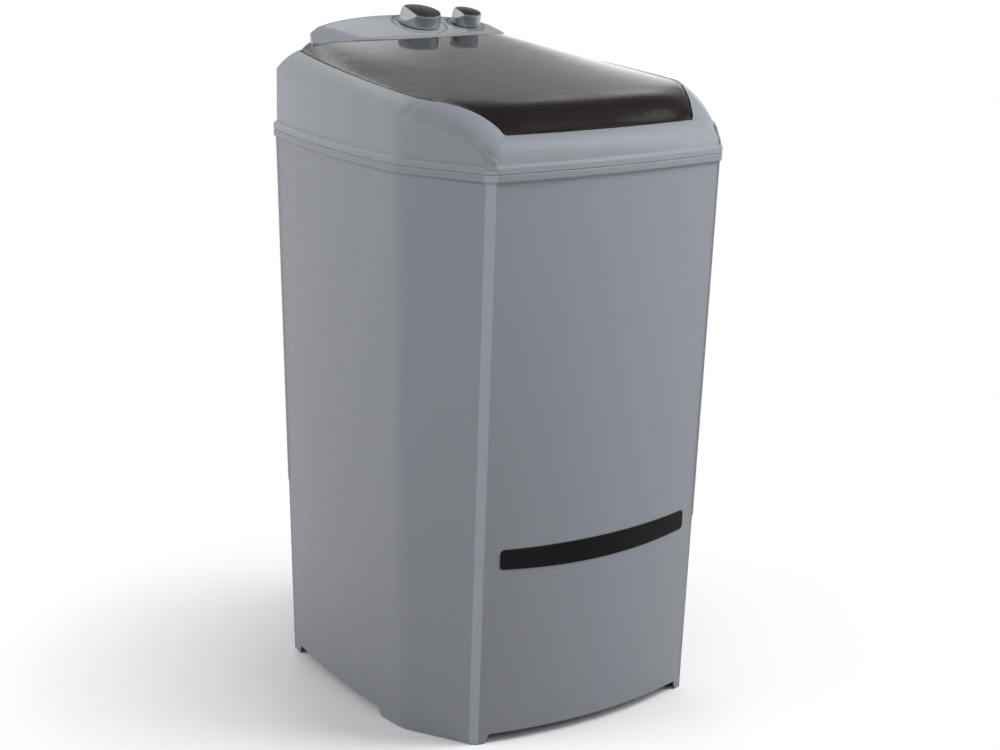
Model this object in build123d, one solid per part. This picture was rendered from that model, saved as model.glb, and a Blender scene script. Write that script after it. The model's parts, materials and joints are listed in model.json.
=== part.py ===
from build123d import *
from functools import lru_cache
import math
import os

os.makedirs("parts", exist_ok=True)

# Overall sizes, mm. X is across, -Y is the front, Z is up from the floor.
WIDTH = 546.0        # over the widest part of the side walls at the seam
DEPTH = 598.0        # over the bowed front and back walls at the seam
SEAM_Z = 863.0       # floor to the joint between cabinet and top frame
ACROSS = WIDTH / 546.0   # 1 at the usual width; sizes that follow it are multiplied by it
DEEP = DEPTH / 598.0     # the same for the depth

# Plan of the walls
STRIP_RUN = 5.0      # half run of each corner strip, along X and along Y
CORNER_IN = 59.0     # corner strip in from the widest part of the side
CORNER_LEAN = 9.0    # how far the corners lean in at the floor, across
SIDE_LEAN = 15.0     # how far the sides lean in at the floor
END_LEAN = 16.0      # how far the middle of front and back lean in at the floor
BOW_TOP = 19.0       # bow of the front and back at the seam
BOW_LOW = 36.0       # bow of the front and back at the floor
CREASE_Y = -137.0 * DEEP   # upright soft bend in each side wall
CREASE_LEG = 14.0    # length of the bend either way from the crease

WALL = 3.0           # moulded wall
BAND = 5.0           # how far the collar band stands out at the seam
BAND_H = 12.5        # height of the band each side of the seam
SEAM_V = 1.2         # bevel that makes the dark line at the seam
STRIP_PROUD = 2.2    # corner strips stand out from the walls
STRIP_STEP_Z = 290.0  # below this the strips are a little thinner
STRIP_STEP = 1.2

FOOT_RAISE = 15.0    # wall edge above the floor between the feet
FOOT_CLEAR = 1.0     # wall feet above the floor; the rubber pads carry the weight
FOOT_FRONT = 21.0    # feet reach this far in from the corners along front and back
FOOT_SIDE_Y = -74.0 * DEEP   # front foot reaches back to here along the side
FOOT_BACK = 35.0     # back foot reaches this far forward of its corner
LIP = 16.0           # flange turned in round the bottom of the walls
PAD_R = 12.0         # rubber foot pad
PAD_IN = 15.0        # pad centre in from the corner, each way
PAD_STEM_R = 4.0
GUSSET_R = 46.0      # corner plate that holds a pad
RIB_X = 95.0         # inner ribs of the front and back walls
RIB_Y = 60.0         # inner ribs of the side walls
RIB_T = 2.2
RIB_DEEP = 12.0

TRIM_HALF = 178.0 * ACROSS   # trim strip on the front
TRIM_TOP = 306.0     # top edge at the ends
TRIM_LOW = 276.0
TRIM_TOP_SAG = 3.5   # edges dip in the middle
TRIM_LOW_SAG = 8.0
TRIM_R = 6.0
TRIM_PROUD = 0.9
TRIM_SINK = 1.3

# Top frame
GAP_IN = 27.5        # lid gap in from the widest part of the side
GAP_FRONT_IN = 27.0  # lid gap in from the front
GAP_CORNER = (178.5 / 273.0, 257.5 / 299.0)   # front corner of the gap, of half sizes
GAP_BACK = (196.0 / 273.0, 246.0 / 299.0)     # back corner of the gap
GAP_CORNER_R = 12.0      # rounding of the rim at the lid's front corners
GAP_CREASE = -147.0 * DEEP
RIM_Z = 105.0        # lid gap above the seam at Y = 0
RIM_SLOPE = 0.081 / DEEP   # rise of the rim towards the back
ROLL_LEN = 103.0     # the rim rolls down to the front over this length
ROLL_DROP = 29.5
ROLL_POWER = 3.07
BEVEL_Z = 70.5       # lower edge of the bevel above the seam at Y = 0
BEVEL_SLOPE = 0.06 / DEEP
BEVEL_LIFT = 0.0001 / DEEP ** 2   # its extra rise towards the back, with the square of Y
BEVEL_ROLL = 106.0   # it rolls down to the band over this length
BEVEL_DROP = 46.0
BEVEL_STOP = 9.0     # and meets the band this far behind the corner
CORNER_R = 18.0      # rounding of the frame's front corners above the band
FRONT_RIM_Z = 49.4   # lid's front edge above the seam
DECK_Z = 30.0        # top of the deck above the seam
DECK_T = 3.0
DECK_IN = 0.6        # deck's back edge in from the outside of the back wall
LID_GAP = 2.0

# Console
CON_FRONT_MID = 195.0 * DEEP   # front lip, middle
CON_FRONT_X = 174.0 * ACROSS   # front lip, ends
CON_FRONT_Y = 209.0 * DEEP
CON_END_X = 187.0 * ACROSS   # widest point of each end
CON_END_Y = 220.0 * DEEP
CON_BACK = 295.5 * DEEP   # back of the console, middle
CON_BACK_X = 175.0 * ACROSS   # back corners
CON_BACK_Y = 246.0 * DEEP
CON_TOP_Z = 151.0       # panel above the seam at CON_TOP_Y
CON_TOP_Y = 233.0 * DEEP
CON_SLOPE = 15.0        # panel tilt, degrees
LIP_Z = 139.8           # front lip above the seam, middle
LIP_END_Z = 136.5       # front lip above the seam, ends
FACET_X = (112.0 * ACROSS, 143.0 * ACROSS)   # the end facets leave the lip and the panel here
FACET_Y = 246.0 * DEEP
CON_WALL = 3.0

# Knobs
KNOB_A = (37.5 * ACROSS, 251.5 * DEEP)   # timer knob centre in plan
KNOB_B = (123.5 * ACROSS, 242.5 * DEEP)   # selector knob centre in plan
KNOB_A_R = 33.8
KNOB_A_H = 22.5
KNOB_B_R = 24.4
KNOB_B_H = 22.0
KNOB_LIFT = 2.4          # knob skirt above the panel
SHAFT_R = 3.0
SHAFT_RUN = 0.05         # running clearance, radial
FIT = 0.3                # clearance between parts of different bodies

# Lid
LID_T = 2.6
LID_SLOPE = 0.125 / DEEP
LID_ROLL = 50.0          # length of the roll at the lid's front
LID_ROLL_DROP = 41.0
LID_SKIRT_LOW = 34.5     # skirt's lower edge above the seam at the front
LID_SKIRT_SLOPE = 0.135 / DEEP
CUSHION = 3.0

# Tub and drive
TUB_Y = -36.0 * DEEP   # axis of tub and agitator
TUB_R = 222.0 * min(ACROSS, DEEP)   # inner radius at the mouth
TUB_LOW_R = TUB_R - 19.0   # inner radius at the bottom
TUB_T = 3.0
TUB_FLOOR = 340.0        # inner floor above the ground
TUB_BEND = 40.0          # rounding between wall and floor
RIM_R = TUB_R + 18.0   # rim flange that hangs under the deck
AGI_R = TUB_R - 57.0   # agitator plate
DRIVE_FIT = TUB_R / 222.0   # the drive under the tub grows and shrinks with it
AGI_GAP = 6.0
AGI_FINS = 4
DRIVE_R = 8.5            # drive shaft
PULLEY_R = 118.0 * DRIVE_FIT
PULLEY_Z = 176.0         # belt plane
MOTOR_AT = (95.0 * DRIVE_FIT, TUB_Y + 135.0 * DRIVE_FIT)   # motor axis in plan
MOTOR_R = 58.0
MOTOR_PULLEY_R = 24.0
BELT_W = 9.5
BELT_T = 6.0

FRAME_LOW = SEAM_Z + BAND_H + 1.5   # the frame's walls stand this high all round

# Spigot, cord gland and their seats
SPIGOT_AT = (-118.0, 78.0)   # X and Z of the drain spigot on the back wall
SPIGOT_R = 12.5
SPIGOT_NECK_R = 11.8         # where it passes the wall
SPIGOT_BORE_R = 9.5
SEAT_FIT = 0.05              # radial clearance of pieces that sit in a hole
GLAND_AT = (112.0 * ACROSS, 110.0)
GLAND_R = 9.0
BOSS_R = 20.0
BOSS_OUT = 6.0   # seats stand out this far, so they are flat all round
BOSS_IN = 11.0

# Top frame, in detail
FRONT_BULGE = 8.0
SIDE_BULGE = 5.5
BACK_BULGE = 3.0
CON_CORNER_X = 166.0 * ACROSS   # the frame's inner edge leaves the lid gap for the console here
CORNER_STEPS = (0, 0.25, 0.5, 0.75, 1)
FACET_STEPS = (0, 0.06, 0.15, 0.27, 0.42, 0.6, 0.8, 1)
SIDE_STEPS = (0, 0.25, 0.5, 0.75, 1)
BACK_STEPS = (0, 0.15, 0.32, 0.5, 0.68, 0.85, 1)
RIDGE_RUN = 46.0         # the corner ridge fades over this length of the side
RIDGE_STEPS = 6
RIDGE_LEAN = 32.0        # lean of its face at the end, degrees from upright
LEDGE_Y = (-70.0 * DEEP, 150.0 * DEEP)   # lid ledges on each side
LEDGE_W = 22.0
LEDGE_OUT = 12.0
GAP_STEPS = 24
TUB_SCREWS = 8
SCREW_R = 2.2
SCREW_PCD = TUB_R + 10.0
CON_SCREW_FRONT = (165.0 * ACROSS, 219.0 * DEEP)   # console screws, each side
CON_SCREW_BACK = (70.0 * ACROSS, 277.5 * DEEP)
WIRE_HOLE = (119.0 * ACROSS, 244.0 * DEEP)
WIRE_HOLE_R = 13.0

# Console, in detail
BUSH_R = 5.5       # threaded bush of the timer and of the switch, through the console
BUSH_H = 8.0
NUT_H = 3.0
PANEL_T = 0.8      # printed panel
PANEL_SINK = 0.5   # depth of the recess it lies in
PANEL_HALF = 138.0 * ACROSS
PANEL_HOLE_R = 12.0
TIMER_SIZE = (58.0, 46.0 * DEEP, 34.0)
SWITCH_SIZE = (28.0, 22.0, 24.0)
CON_BOSS_R = 5.5
CON_BOSS_H = 20.0

# Knobs, in detail
KNOB_TOP_T = 3.0
KNOB_SKIRT_T = 2.4
INSERT_IN = 3.0      # insert in from the knob's edge
INSERT_T = 1.4
INSERT_DOME = 1.5
INSERT_EDGE = 0.2    # insert's rim above the knob
GRIP_AT = 0.6        # chord of the grip face, as a part of the knob's radius
GRIP_DIR = 172.0     # where the grip face looks, degrees from +X
GRIP_SLOPE = 42.0    # lean of the grip face from upright
HUB_T = 3.2

# Lid, in detail
GAP_CORNER_X = GAP_CORNER[0] * WIDTH / 2
LID_MID_Z = 115.9        # lid's middle at Y = 0, above the seam
LID_BEND_SAG = 12.0      # how far the front roll moves back towards the corners
LID_ROLL_FROM = 74.0     # the roll starts this far in from the front
LID_EDGE_POWER = 6.0     # how sharply the sides turn down, in front of the middle
LID_EDGE_GROWTH = 0.027  # and how that grows towards the back
LID_EDGE_LOW = 0.4       # lid's edge under the rim
LID_TAIL_Y = 235.0 * DEEP   # the lid's rear tips end here
LID_STEP = 24.0          # spacing of the lid's sections
LID_REACH = (-1.12, -1.0, -0.9, -0.78, -0.55, 0.0, 0.55, 0.78, 0.9, 1.0, 1.12)

# Tub, in detail
TUB_FLANGE_T = 4.0
TUB_TOP = SEAM_Z + DECK_Z - DECK_T      # the flange lies against the deck from below
TUB_HOOPS = (480.0, 620.0, 760.0)       # stiffening hoops
HOOP_OUT = 6.0
HOOP_T = 2.6
TUB_PAD_R = 60.0                        # thick middle of the floor
TUB_PAD_TOP = TUB_FLOOR + 4.0
TUB_HOLE_R = 14.0
FLOOR_RIBS = 8
FLOOR_RIB_H = 14.0
FLOOR_RIB_R = (59.0, TUB_LOW_R - TUB_BEND - 1.0)
OUTLET_AT = (SPIGOT_AT[0], 40.0)        # drain outlet in the tub's floor
HOSE_BORE_R = 9.5
HOSE_R = 13.2
MOTOR_ANGLE = math.degrees(math.atan2(MOTOR_AT[1] - TUB_Y, MOTOR_AT[0]))
MOTOR_REACH = math.hypot(MOTOR_AT[0], MOTOR_AT[1] - TUB_Y)
BOSS_U = (112.0 * DRIVE_FIT, 172.0 * DRIVE_FIT)   # bracket bosses along the line to the motor
BOSS_V = 78.0                           # and across it
TUB_BOSS_R = 8.0
BRACKET_Z = 310.0
BRACKET_T = 3.0
PILOT_R = 2.0

# Bearing housing, bearings, seal and shaft, in detail
HOUSING_FLANGE_R = 56.0
HOUSING_FLANGE_T = 6.0
HOUSING_TOP = TUB_FLOOR - TUB_T
HOUSING_LOW = 205.0
HOUSING_R = 27.0
HOUSING_BORE_R = 13.0
HOUSING_BOLTS = 6
HOUSING_BOLT_R = 45.0
BEARING_R = 20.0
BEARING_H = 12.0
SEAL_R = 17.0
SEAL_H = 9.0
BEARING_Z = (HOUSING_LOW + 1.0, 300.0)   # lower faces of the two bearings
SHAFT_TOP = 420.0
SHAFT_LOW = 152.0
NUT_SEAT = 166.0       # drive shaft's shoulder under the pulley
THREAD_R = 6.0

# Agitator, in detail
AGI_LOW = TUB_FLOOR + AGI_GAP
AGI_HUB_R = 30.0
AGI_TOP = 446.0
AGI_T = 3.0
AGI_SCREW_R = 3.0
AGI_FIN_T = 7.0
AGI_FIN_R = AGI_R - 17.0
AGI_HOLES = 12

# Pulleys, in detail
PULLEY_W = 18.0
GROOVE_TOP = 11.0
GROOVE_LOW = 5.0
GROOVE_DEEP = 9.0
PULLEY_HUB_R = 15.0
PULLEY_SPOKES = 5
MOTOR_SHAFT_R = 6.0

# Motor and its bracket, in detail
STATOR_Z = (236.0, 298.0)
SHIELD_H = 12.0
SHIELD_T = 2.5
STATOR_BORE = 32.0
AIR_GAP = 0.5
FAN_R = 46.0
FAN_Z = (204.0, 216.0)
FAN_BLADES = 8
MOTOR_EARS = 4
EAR_R = 50.0
STATOR_SLOTS = 12
COIL_R = (34.0, 44.0)
COIL_H = 7.0

# Capacitor, in detail
CAP_AT = (30.0, 215.0)    # X and Z of its middle
CAP_R = 19.0
CAP_H = 72.0
CAP_TAB = (7.0, 3.1)      # terminals: off the middle, and half width
CAP_OFF = 4.0             # between the wall and the can
CLAMP_HALF = 26.0
CLAMP_W = 16.0

# Drain, in detail
NIPPLE_R = HOSE_BORE_R - SEAT_FIT
NIPPLE_BORE = 7.5
NIPPLE_LEN = 22.0
HOSE_BEND = 100.0
SPIGOT_OUT = 16.0
SPIGOT_FLANGE_R = 17.0
HOSE_CLIP_W = 9.0
HOSE_CLIP_T = 1.2

# Power entry and wiring, in detail
CORD_BORE = 4.5
CABLE_R = 4.0
BLOCK_SIZE = (30.0, 12.0, 20.0)
BLOCK_Z = 926.0
CLIP_Z = (330.0, 560.0, 760.0)
CLIP_DEEP = 12.0
CABLE_STEP = 13.0        # between the two cables


def seam_frac(z):
    """0 at the floor, 1 at the seam."""
    return min(z / SEAM_Z, 1.0)


def wall_sizes(z, inset=0.0):
    """Key sizes of the wall's plan at a height, moved in by an inset."""
    f = seam_frac(z)
    shift = inset * math.sqrt(0.5)
    bow = BOW_LOW + (BOW_TOP - BOW_LOW) * f
    end_y = DEPTH / 2 - END_LEAN * (1 - f)
    corner_x = WIDTH / 2 - CORNER_IN - CORNER_LEAN * (1 - f) - shift
    corner_y = end_y - bow - shift
    return {
        "side_x": WIDTH / 2 - SIDE_LEAN * (1 - f) - inset,
        "front": (corner_x, corner_y),
        "back": (corner_x, corner_y),
        "front_y": end_y - inset,
        "back_y": end_y - inset,
        "run": max(STRIP_RUN - inset * (1 - math.sqrt(0.5)), 1.0),
        "crease_y": CREASE_Y,
    }


def gap_sizes(inset=0.0):
    """Key sizes of the line where the lid meets the frame."""
    shift = inset * math.sqrt(0.5)
    return {
        "side_x": WIDTH / 2 - GAP_IN - inset,
        "front": (GAP_CORNER[0] * WIDTH / 2 - shift, GAP_CORNER[1] * DEPTH / 2 - shift),
        "back": (GAP_BACK[0] * WIDTH / 2 - shift, GAP_BACK[1] * DEPTH / 2 - shift),
        "front_y": DEPTH / 2 - GAP_FRONT_IN - inset,
        "back_y": DEPTH / 2 - GAP_FRONT_IN - inset,
        "run": 2.5,
        "crease_y": GAP_CREASE,
    }


def half_points(s):
    """Left half of a plan: front strip, crease legs and back strip."""
    run = s["run"]
    front_a = Vector(-(s["front"][0] - run), -(s["front"][1] + run))
    front_b = Vector(-(s["front"][0] + run), -(s["front"][1] - run))
    crease = Vector(-s["side_x"], s["crease_y"])
    leg = (front_b - crease).normalized() * CREASE_LEG
    bend_a = crease + leg
    bend_b = crease + Vector(0, CREASE_LEG)
    back_a = Vector(-(s["back"][0] + run), s["back"][1] - run)
    back_b = Vector(-(s["back"][0] - run), s["back"][1] + run)
    return front_a, front_b, bend_a, bend_b, back_a, back_b


def flip(p):
    return Vector(-p.X, p.Y, p.Z)


def side_edges(s):
    """Strip, facet, soft bend, long arc and strip down the left side."""
    fa, fb, ba, bb, ra, rb = half_points(s)
    return [
        Edge.make_line(fa, fb),
        Edge.make_line(fb, ba),
        Edge.make_tangent_arc(ba, ba - fb, bb),
        Edge.make_tangent_arc(bb, Vector(0, 1), ra),
        Edge.make_line(ra, rb),
    ]


def mirrored(edges):
    return [e.mirror(Plane.YZ) for e in edges]


def plan_face(s, z):
    """Closed plan of a wall loop at a height."""
    fa, fb, ba, bb, ra, rb = half_points(s)
    front = Edge.make_three_point_arc(fa, Vector(0, -s["front_y"]), flip(fa))
    back = Edge.make_three_point_arc(rb, Vector(0, s["back_y"]), flip(rb))
    left = side_edges(s)
    loop = Wire(left + mirrored(left) + [front, back])
    return Pos(0, 0, z) * Face(loop)


def wall_body(z0, z1, inset, size_z0=None, size_z1=None, inset1=None):
    """Solid between two wall plans."""
    inset1 = inset if inset1 is None else inset1
    low = plan_face(wall_sizes(z0 if size_z0 is None else size_z0, inset), z0)
    high = plan_face(wall_sizes(z1 if size_z1 is None else size_z1, inset1), z1)
    return Solid.make_loft([low.outer_wire(), high.outer_wire()], True)


def box_between(lo, hi):
    size = [hi[i] - lo[i] for i in range(3)]
    mid = [(hi[i] + lo[i]) / 2 for i in range(3)]
    return Pos(*mid) * Box(*size)


def cyl(r, z0, z1, x=0.0, y=0.0):
    return Pos(x, y, (z0 + z1) / 2) * Cylinder(r, z1 - z0)


def tube(r_out, r_in, z0, z1, x=0.0, y=0.0):
    return cyl(r_out, z0, z1, x, y) - cyl(r_in, z0 - 1, z1 + 1, x, y)


def turned(points, x=0.0, y=0.0):
    """Turned solid from (radius, height) points about an upright axis."""
    face = Plane.XZ * make_face(Polyline(*points, close=True))
    return Pos(x, y, 0) * revolve(face, Axis.Z)


def save(shape, name):
    """Write one node; several solids in a node stay together as a group."""
    shape.label = name
    export_step(shape, "parts/" + name + ".step")


def group(shapes):
    return Compound(children=list(shapes))


def back_wall_y(x, z):
    """Outer face of the back wall at a point."""
    s = wall_sizes(z)
    half = s["back"][0] - s["run"]
    bow = s["back_y"] - (s["back"][1] + s["run"])
    return s["back_y"] - bow * (x / half) ** 2


def wall_in(x, z):
    """Inner face of the back wall."""
    return back_wall_y(x, z) - WALL


def corners():
    return [(sx, sy) for sx in (-1, 1) for sy in (-1, 1)]


# Cabinet shell and what is fixed to it

def strip_pads(z0, z1, proud):
    """Upright pads that stand out along the four corners."""
    pads = None
    for sx, sy in corners():
        wires = []
        for z in (z0, z1):
            s = wall_sizes(z)
            mid = Vector(sx * s["front"][0], sy * s["front"][1], z)
            out = Vector(sx, sy, 0).normalized()
            across = Vector(-sy, sx, 0).normalized() * STRIP_RUN * math.sqrt(2)
            near = out * (WALL - 1)
            far = out * proud
            corner = [mid + across - near, mid - across - near, mid - across + far, mid + across + far]
            wires.append(Wire.make_polygon(corner, close=True))
        pad = Solid.make_loft(wires, True)
        pads = pad if pads is None else pads + pad
    return pads


def foot_cuts():
    """Gaps under the wall edge between the four corner feet."""
    s = wall_sizes(0)
    half = s["front"][0] - FOOT_FRONT
    back = s["back"][1] - FOOT_BACK
    slope = FOOT_RAISE * 0.45
    ends = make_face(Polyline((-half - slope, -1), (half + slope, -1), (half, FOOT_RAISE),
                              (-half, FOOT_RAISE), close=True))
    along = extrude(Plane.XZ * ends, DEPTH, both=True)
    sides = make_face(Polyline((FOOT_SIDE_Y - slope, -1), (back + slope, -1), (back, FOOT_RAISE),
                               (FOOT_SIDE_Y, FOOT_RAISE), close=True))
    across = extrude(Plane.YZ * sides, WIDTH, both=True)
    return along + across


def wall_ribs():
    """Upright stiffening ribs inside the walls."""
    top = SEAM_Z - 20
    low = FOOT_RAISE + 1
    band = wall_body(low, top, 1) - wall_body(low - 1, top + 1, RIB_DEEP)
    bars = None
    for s in (-1, 1):
        for bar in (
            box_between((s * RIB_X - RIB_T / 2, -DEPTH, low), (s * RIB_X + RIB_T / 2, -DEPTH / 4, top)),
            box_between((s * RIB_X - RIB_T / 2, DEPTH / 4, low), (s * RIB_X + RIB_T / 2, DEPTH, top)),
            box_between((-WIDTH, s * RIB_Y - RIB_T / 2, low), (-WIDTH / 4, s * RIB_Y + RIB_T / 2, top)),
            box_between((WIDTH / 4, s * RIB_Y - RIB_T / 2, low), (WIDTH, s * RIB_Y + RIB_T / 2, top)),
        ):
            bars = bar if bars is None else bars + bar
    return band & bars


def pad_places():
    s = wall_sizes(0)
    return [(sx * (s["front"][0] - PAD_IN), sy * (s["front"][1] - PAD_IN)) for sx, sy in corners()]


def trim_prism():
    """Trim strip's outline, run through the front wall."""
    top = Edge.make_three_point_arc((-TRIM_HALF, TRIM_TOP), (0, TRIM_TOP - TRIM_TOP_SAG),
                                    (TRIM_HALF, TRIM_TOP))
    low = Edge.make_three_point_arc((-TRIM_HALF, TRIM_LOW), (0, TRIM_LOW - TRIM_LOW_SAG),
                                    (TRIM_HALF, TRIM_LOW))
    ends = [
        Edge.make_line((-TRIM_HALF, TRIM_LOW), (-TRIM_HALF, TRIM_TOP)),
        Edge.make_line((TRIM_HALF, TRIM_LOW), (TRIM_HALF, TRIM_TOP)),
    ]
    face = Face(Wire([top, low] + ends))
    face = face.fillet_2d(TRIM_R, face.vertices())
    return extrude(Plane.XZ * face, DEPTH, dir=(0, -1, 0))


def back_boss(at, r):
    """Flat round seat through the back wall."""
    y = back_wall_y(at[0], at[1])
    depth = BOSS_OUT + BOSS_IN
    return Pos(at[0], y + BOSS_OUT - depth / 2, at[1]) * Rot(90, 0, 0) * Cylinder(r, depth)


def cabinet_shell():
    shell = wall_body(FOOT_CLEAR, SEAM_Z, 0)
    shell += strip_pads(STRIP_STEP_Z, SEAM_Z - BAND_H, STRIP_PROUD)
    shell += strip_pads(FOOT_CLEAR, STRIP_STEP_Z, STRIP_PROUD - STRIP_STEP)
    low = SEAM_Z - BAND_H
    shell += wall_body(low, low + 3, -BAND + 2.5, low, low, -BAND)
    shell += wall_body(low + 3, SEAM_Z - SEAM_V, -BAND, low, SEAM_Z)
    shell += wall_body(SEAM_Z - SEAM_V, SEAM_Z, -BAND, SEAM_Z, SEAM_Z, -BAND + SEAM_V)
    shell -= wall_body(FOOT_CLEAR - 1, SEAM_Z + 1, WALL, FOOT_CLEAR, SEAM_Z)
    flange = wall_body(FOOT_RAISE, FOOT_RAISE + WALL, 1)
    hole = wall_body(FOOT_RAISE - 1, FOOT_RAISE + WALL + 1, LIP)
    shell += flange - hole
    for sx, sy in corners():
        s = wall_sizes(0)
        shell += flange & cyl(GUSSET_R, 0, 2 * FOOT_RAISE, sx * s["front"][0], sy * s["front"][1])
    shell += wall_ribs()
    for at, r in ((SPIGOT_AT, BOSS_R), (GLAND_AT, BOSS_R - 6)):
        shell += back_boss(at, r)
    shell -= foot_cuts()
    for x, y in pad_places():
        shell -= cyl(PAD_STEM_R + SEAT_FIT, 0, 2 * FOOT_RAISE, x, y)
    for at, r in ((SPIGOT_AT, SPIGOT_NECK_R), (GLAND_AT, GLAND_R)):
        shell -= Pos(at[0], DEPTH / 2, at[1]) * Rot(90, 0, 0) * Cylinder(r + SEAT_FIT, 120)
    skin = wall_body(TRIM_LOW - 30, TRIM_TOP + 30, -1) - wall_body(TRIM_LOW - 31, TRIM_TOP + 31, TRIM_SINK)
    shell -= skin & trim_prism()
    return shell


def front_trim():
    low, high = TRIM_LOW - 30, TRIM_TOP + 30
    skin = wall_body(low, high, -TRIM_PROUD) - wall_body(low - 1, high + 1, TRIM_SINK)
    return skin & trim_prism()


def foot_pads():
    pads = []
    for x, y in pad_places():
        pads.append(turned([
            (0, 0), (PAD_R - 1, 0), (PAD_R, 1), (PAD_R, FOOT_RAISE), (PAD_STEM_R, FOOT_RAISE),
            (PAD_STEM_R, FOOT_RAISE + WALL), (PAD_STEM_R + 2, FOOT_RAISE + WALL),
            (PAD_STEM_R, FOOT_RAISE + WALL + 3), (0, FOOT_RAISE + WALL + 3)], x, y))
    return group(pads)


# Top frame: band, bevelled shoulders, lid well and deck

def rim_z(y):
    """Height of the lid gap along the sides."""
    start = -(GAP_CORNER[1] * DEPTH / 2 - ROLL_LEN)
    roll = max(0.0, (start - y) / ROLL_LEN)
    return SEAM_Z + RIM_Z + RIM_SLOPE * y - ROLL_DROP * roll ** ROLL_POWER


def bevel_z(y):
    """Height of the bevel's lower edge on the walls."""
    start = -(DEPTH / 2 - BOW_TOP - BEVEL_STOP - BEVEL_ROLL)
    roll = min(max(0.0, (start - y) / BEVEL_ROLL), 1.0)
    drop = BEVEL_DROP * (1 - math.sqrt(1 - roll ** 2))
    lift = BEVEL_LIFT * max(y, 0.0) ** 2
    return max(SEAM_Z + BEVEL_Z + BEVEL_SLOPE * y + lift - drop, FRAME_LOW)


def frame_section(out, rim, z_low, z_rim, bulge):
    """Thin wall section in the upright plane through an outer and a rim point."""
    run = rim - out
    length = run.length
    d = run.normalized()
    z0 = SEAM_Z + BAND_H

    def at(s, z):
        return Vector(out.X + d.X * s, out.Y + d.Y * s, z)

    rise = z_rim - z_low
    chord = math.hypot(length, rise)
    side = (-rise / chord, length / chord)

    def mid(a, b, push):
        return at((a[0] + b[0]) / 2 + side[0] * push, (a[1] + b[1]) / 2 + side[1] * push)

    t = min(WALL, length * 0.45)
    outer = [(0, z_low), (length, z_rim)]
    inner = [(t, z_low - t * 0.4), (length - t, z_rim - t * 1.25)]
    foot_z = SEAM_Z + DECK_Z
    edges = [
        Edge.make_line(at(0, z0), at(0, z_low)),
        Edge.make_three_point_arc(at(0, z_low), mid(outer[0], outer[1], bulge), at(length, z_rim)),
        Edge.make_line(at(length, z_rim), at(length, foot_z)),
        Edge.make_line(at(length, foot_z), at(length - t, foot_z)),
        Edge.make_line(at(length - t, foot_z), at(*inner[1])),
        Edge.make_three_point_arc(at(*inner[1]), mid(inner[0], inner[1], bulge), at(*inner[0])),
        Edge.make_line(at(*inner[0]), at(t, z0)),
        Edge.make_line(at(t, z0), at(0, z0)),
    ]
    return Wire(edges)


def console_back_y(x):
    """Back edge of the console in plan, an arc through its back corners."""
    sag = CON_BACK - CON_BACK_Y
    r = (CON_BACK_X ** 2 + sag ** 2) / (2 * sag)
    return CON_BACK - r + math.sqrt(r ** 2 - x ** 2)


def rounded_front(s, r):
    """Front arc, left corner arc and left facet of a plan with a rounded corner."""
    fa, fb, bend, _, _, _ = half_points(s)
    middle = Vector(0, -s["front_y"])
    across = Edge.make_three_point_arc(flip(fa), middle, fa) % 1
    along = (bend - fb).normalized()
    span = fb - fa
    reach = (span.X * along.Y - span.Y * along.X) / (across.X * along.Y - across.Y * along.X)
    tip = fa + across * reach
    leg = r * math.tan(math.radians(across.get_angle(along) / 2))
    start, end = tip - across * leg, tip + along * leg
    return [
        Edge.make_three_point_arc(flip(start), middle, start),
        Edge.make_tangent_arc(start, across, end),
        Edge.make_line(end, bend),
    ]


def ring_stations():
    """Outer points, rim points and heights from front middle to back middle, left side."""
    outer, gap = wall_sizes(SEAM_Z), gap_sizes()
    front_o, corner_o, facet_o = rounded_front(outer, CORNER_R)
    front_g, corner_g, facet_g = rounded_front(gap, GAP_CORNER_R)
    rim_front = SEAM_Z + FRONT_RIM_Z
    rim_side = rim_z((facet_g @ 0).Y)
    front = [(front_o @ f, front_g @ f, FRAME_LOW, rim_front, FRONT_BULGE) for f in SIDE_STEPS]
    corner = []
    for f in CORNER_STEPS:
        p = corner_o @ f
        z_low = FRAME_LOW + (bevel_z((corner_o @ 1).Y) - FRAME_LOW) * f ** 2
        corner.append((p, corner_g @ f, z_low, rim_front + (rim_side - rim_front) * f ** 2, FRONT_BULGE))

    def station(edge_o, edge_g, f, bulge):
        a, b = edge_o @ f, edge_g @ f
        return a, b, bevel_z(a.Y), rim_z(b.Y), bulge

    turn = SIDE_BULGE - FRONT_BULGE
    facet = [station(facet_o, facet_g, f, FRONT_BULGE + turn * f) for f in FACET_STEPS]
    side_o, side_g = side_edges(outer), side_edges(gap)
    bend = [station(side_o[2], side_g[2], f, SIDE_BULGE) for f in (0, 0.5, 1)]
    turn = BACK_BULGE - SIDE_BULGE
    arc = [station(side_o[3], side_g[3], f, SIDE_BULGE + turn * f ** 2) for f in SIDE_STEPS]
    back_end = half_points(outer)[5]
    con_corner = Vector(-CON_CORNER_X, console_back_y(CON_CORNER_X) + 1.0)
    span = (con_corner - back_end).length
    rise = rim_z(con_corner.Y) - bevel_z(back_end.Y)
    back_o = Edge.make_three_point_arc(back_end, Vector(0, outer["back_y"]), flip(back_end))
    back = []
    for f in BACK_STEPS:
        p = back_o @ f
        x = -CON_CORNER_X + 2 * CON_CORNER_X * f
        q = Vector(x, console_back_y(x) + 1.0)
        z_low = bevel_z(p.Y)
        share = min(1.0, (q - p).length / span)
        back.append((p, q, z_low, z_low + max(rise * share, 1.5), 0.3 + (BACK_BULGE - 0.3) * share ** 2))
    return front, corner, facet, bend, arc, back


def ring_loft(stations, ruled=False):
    wires = [frame_section(*s) for s in stations]
    return Solid.make_loft(wires, ruled)


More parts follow.
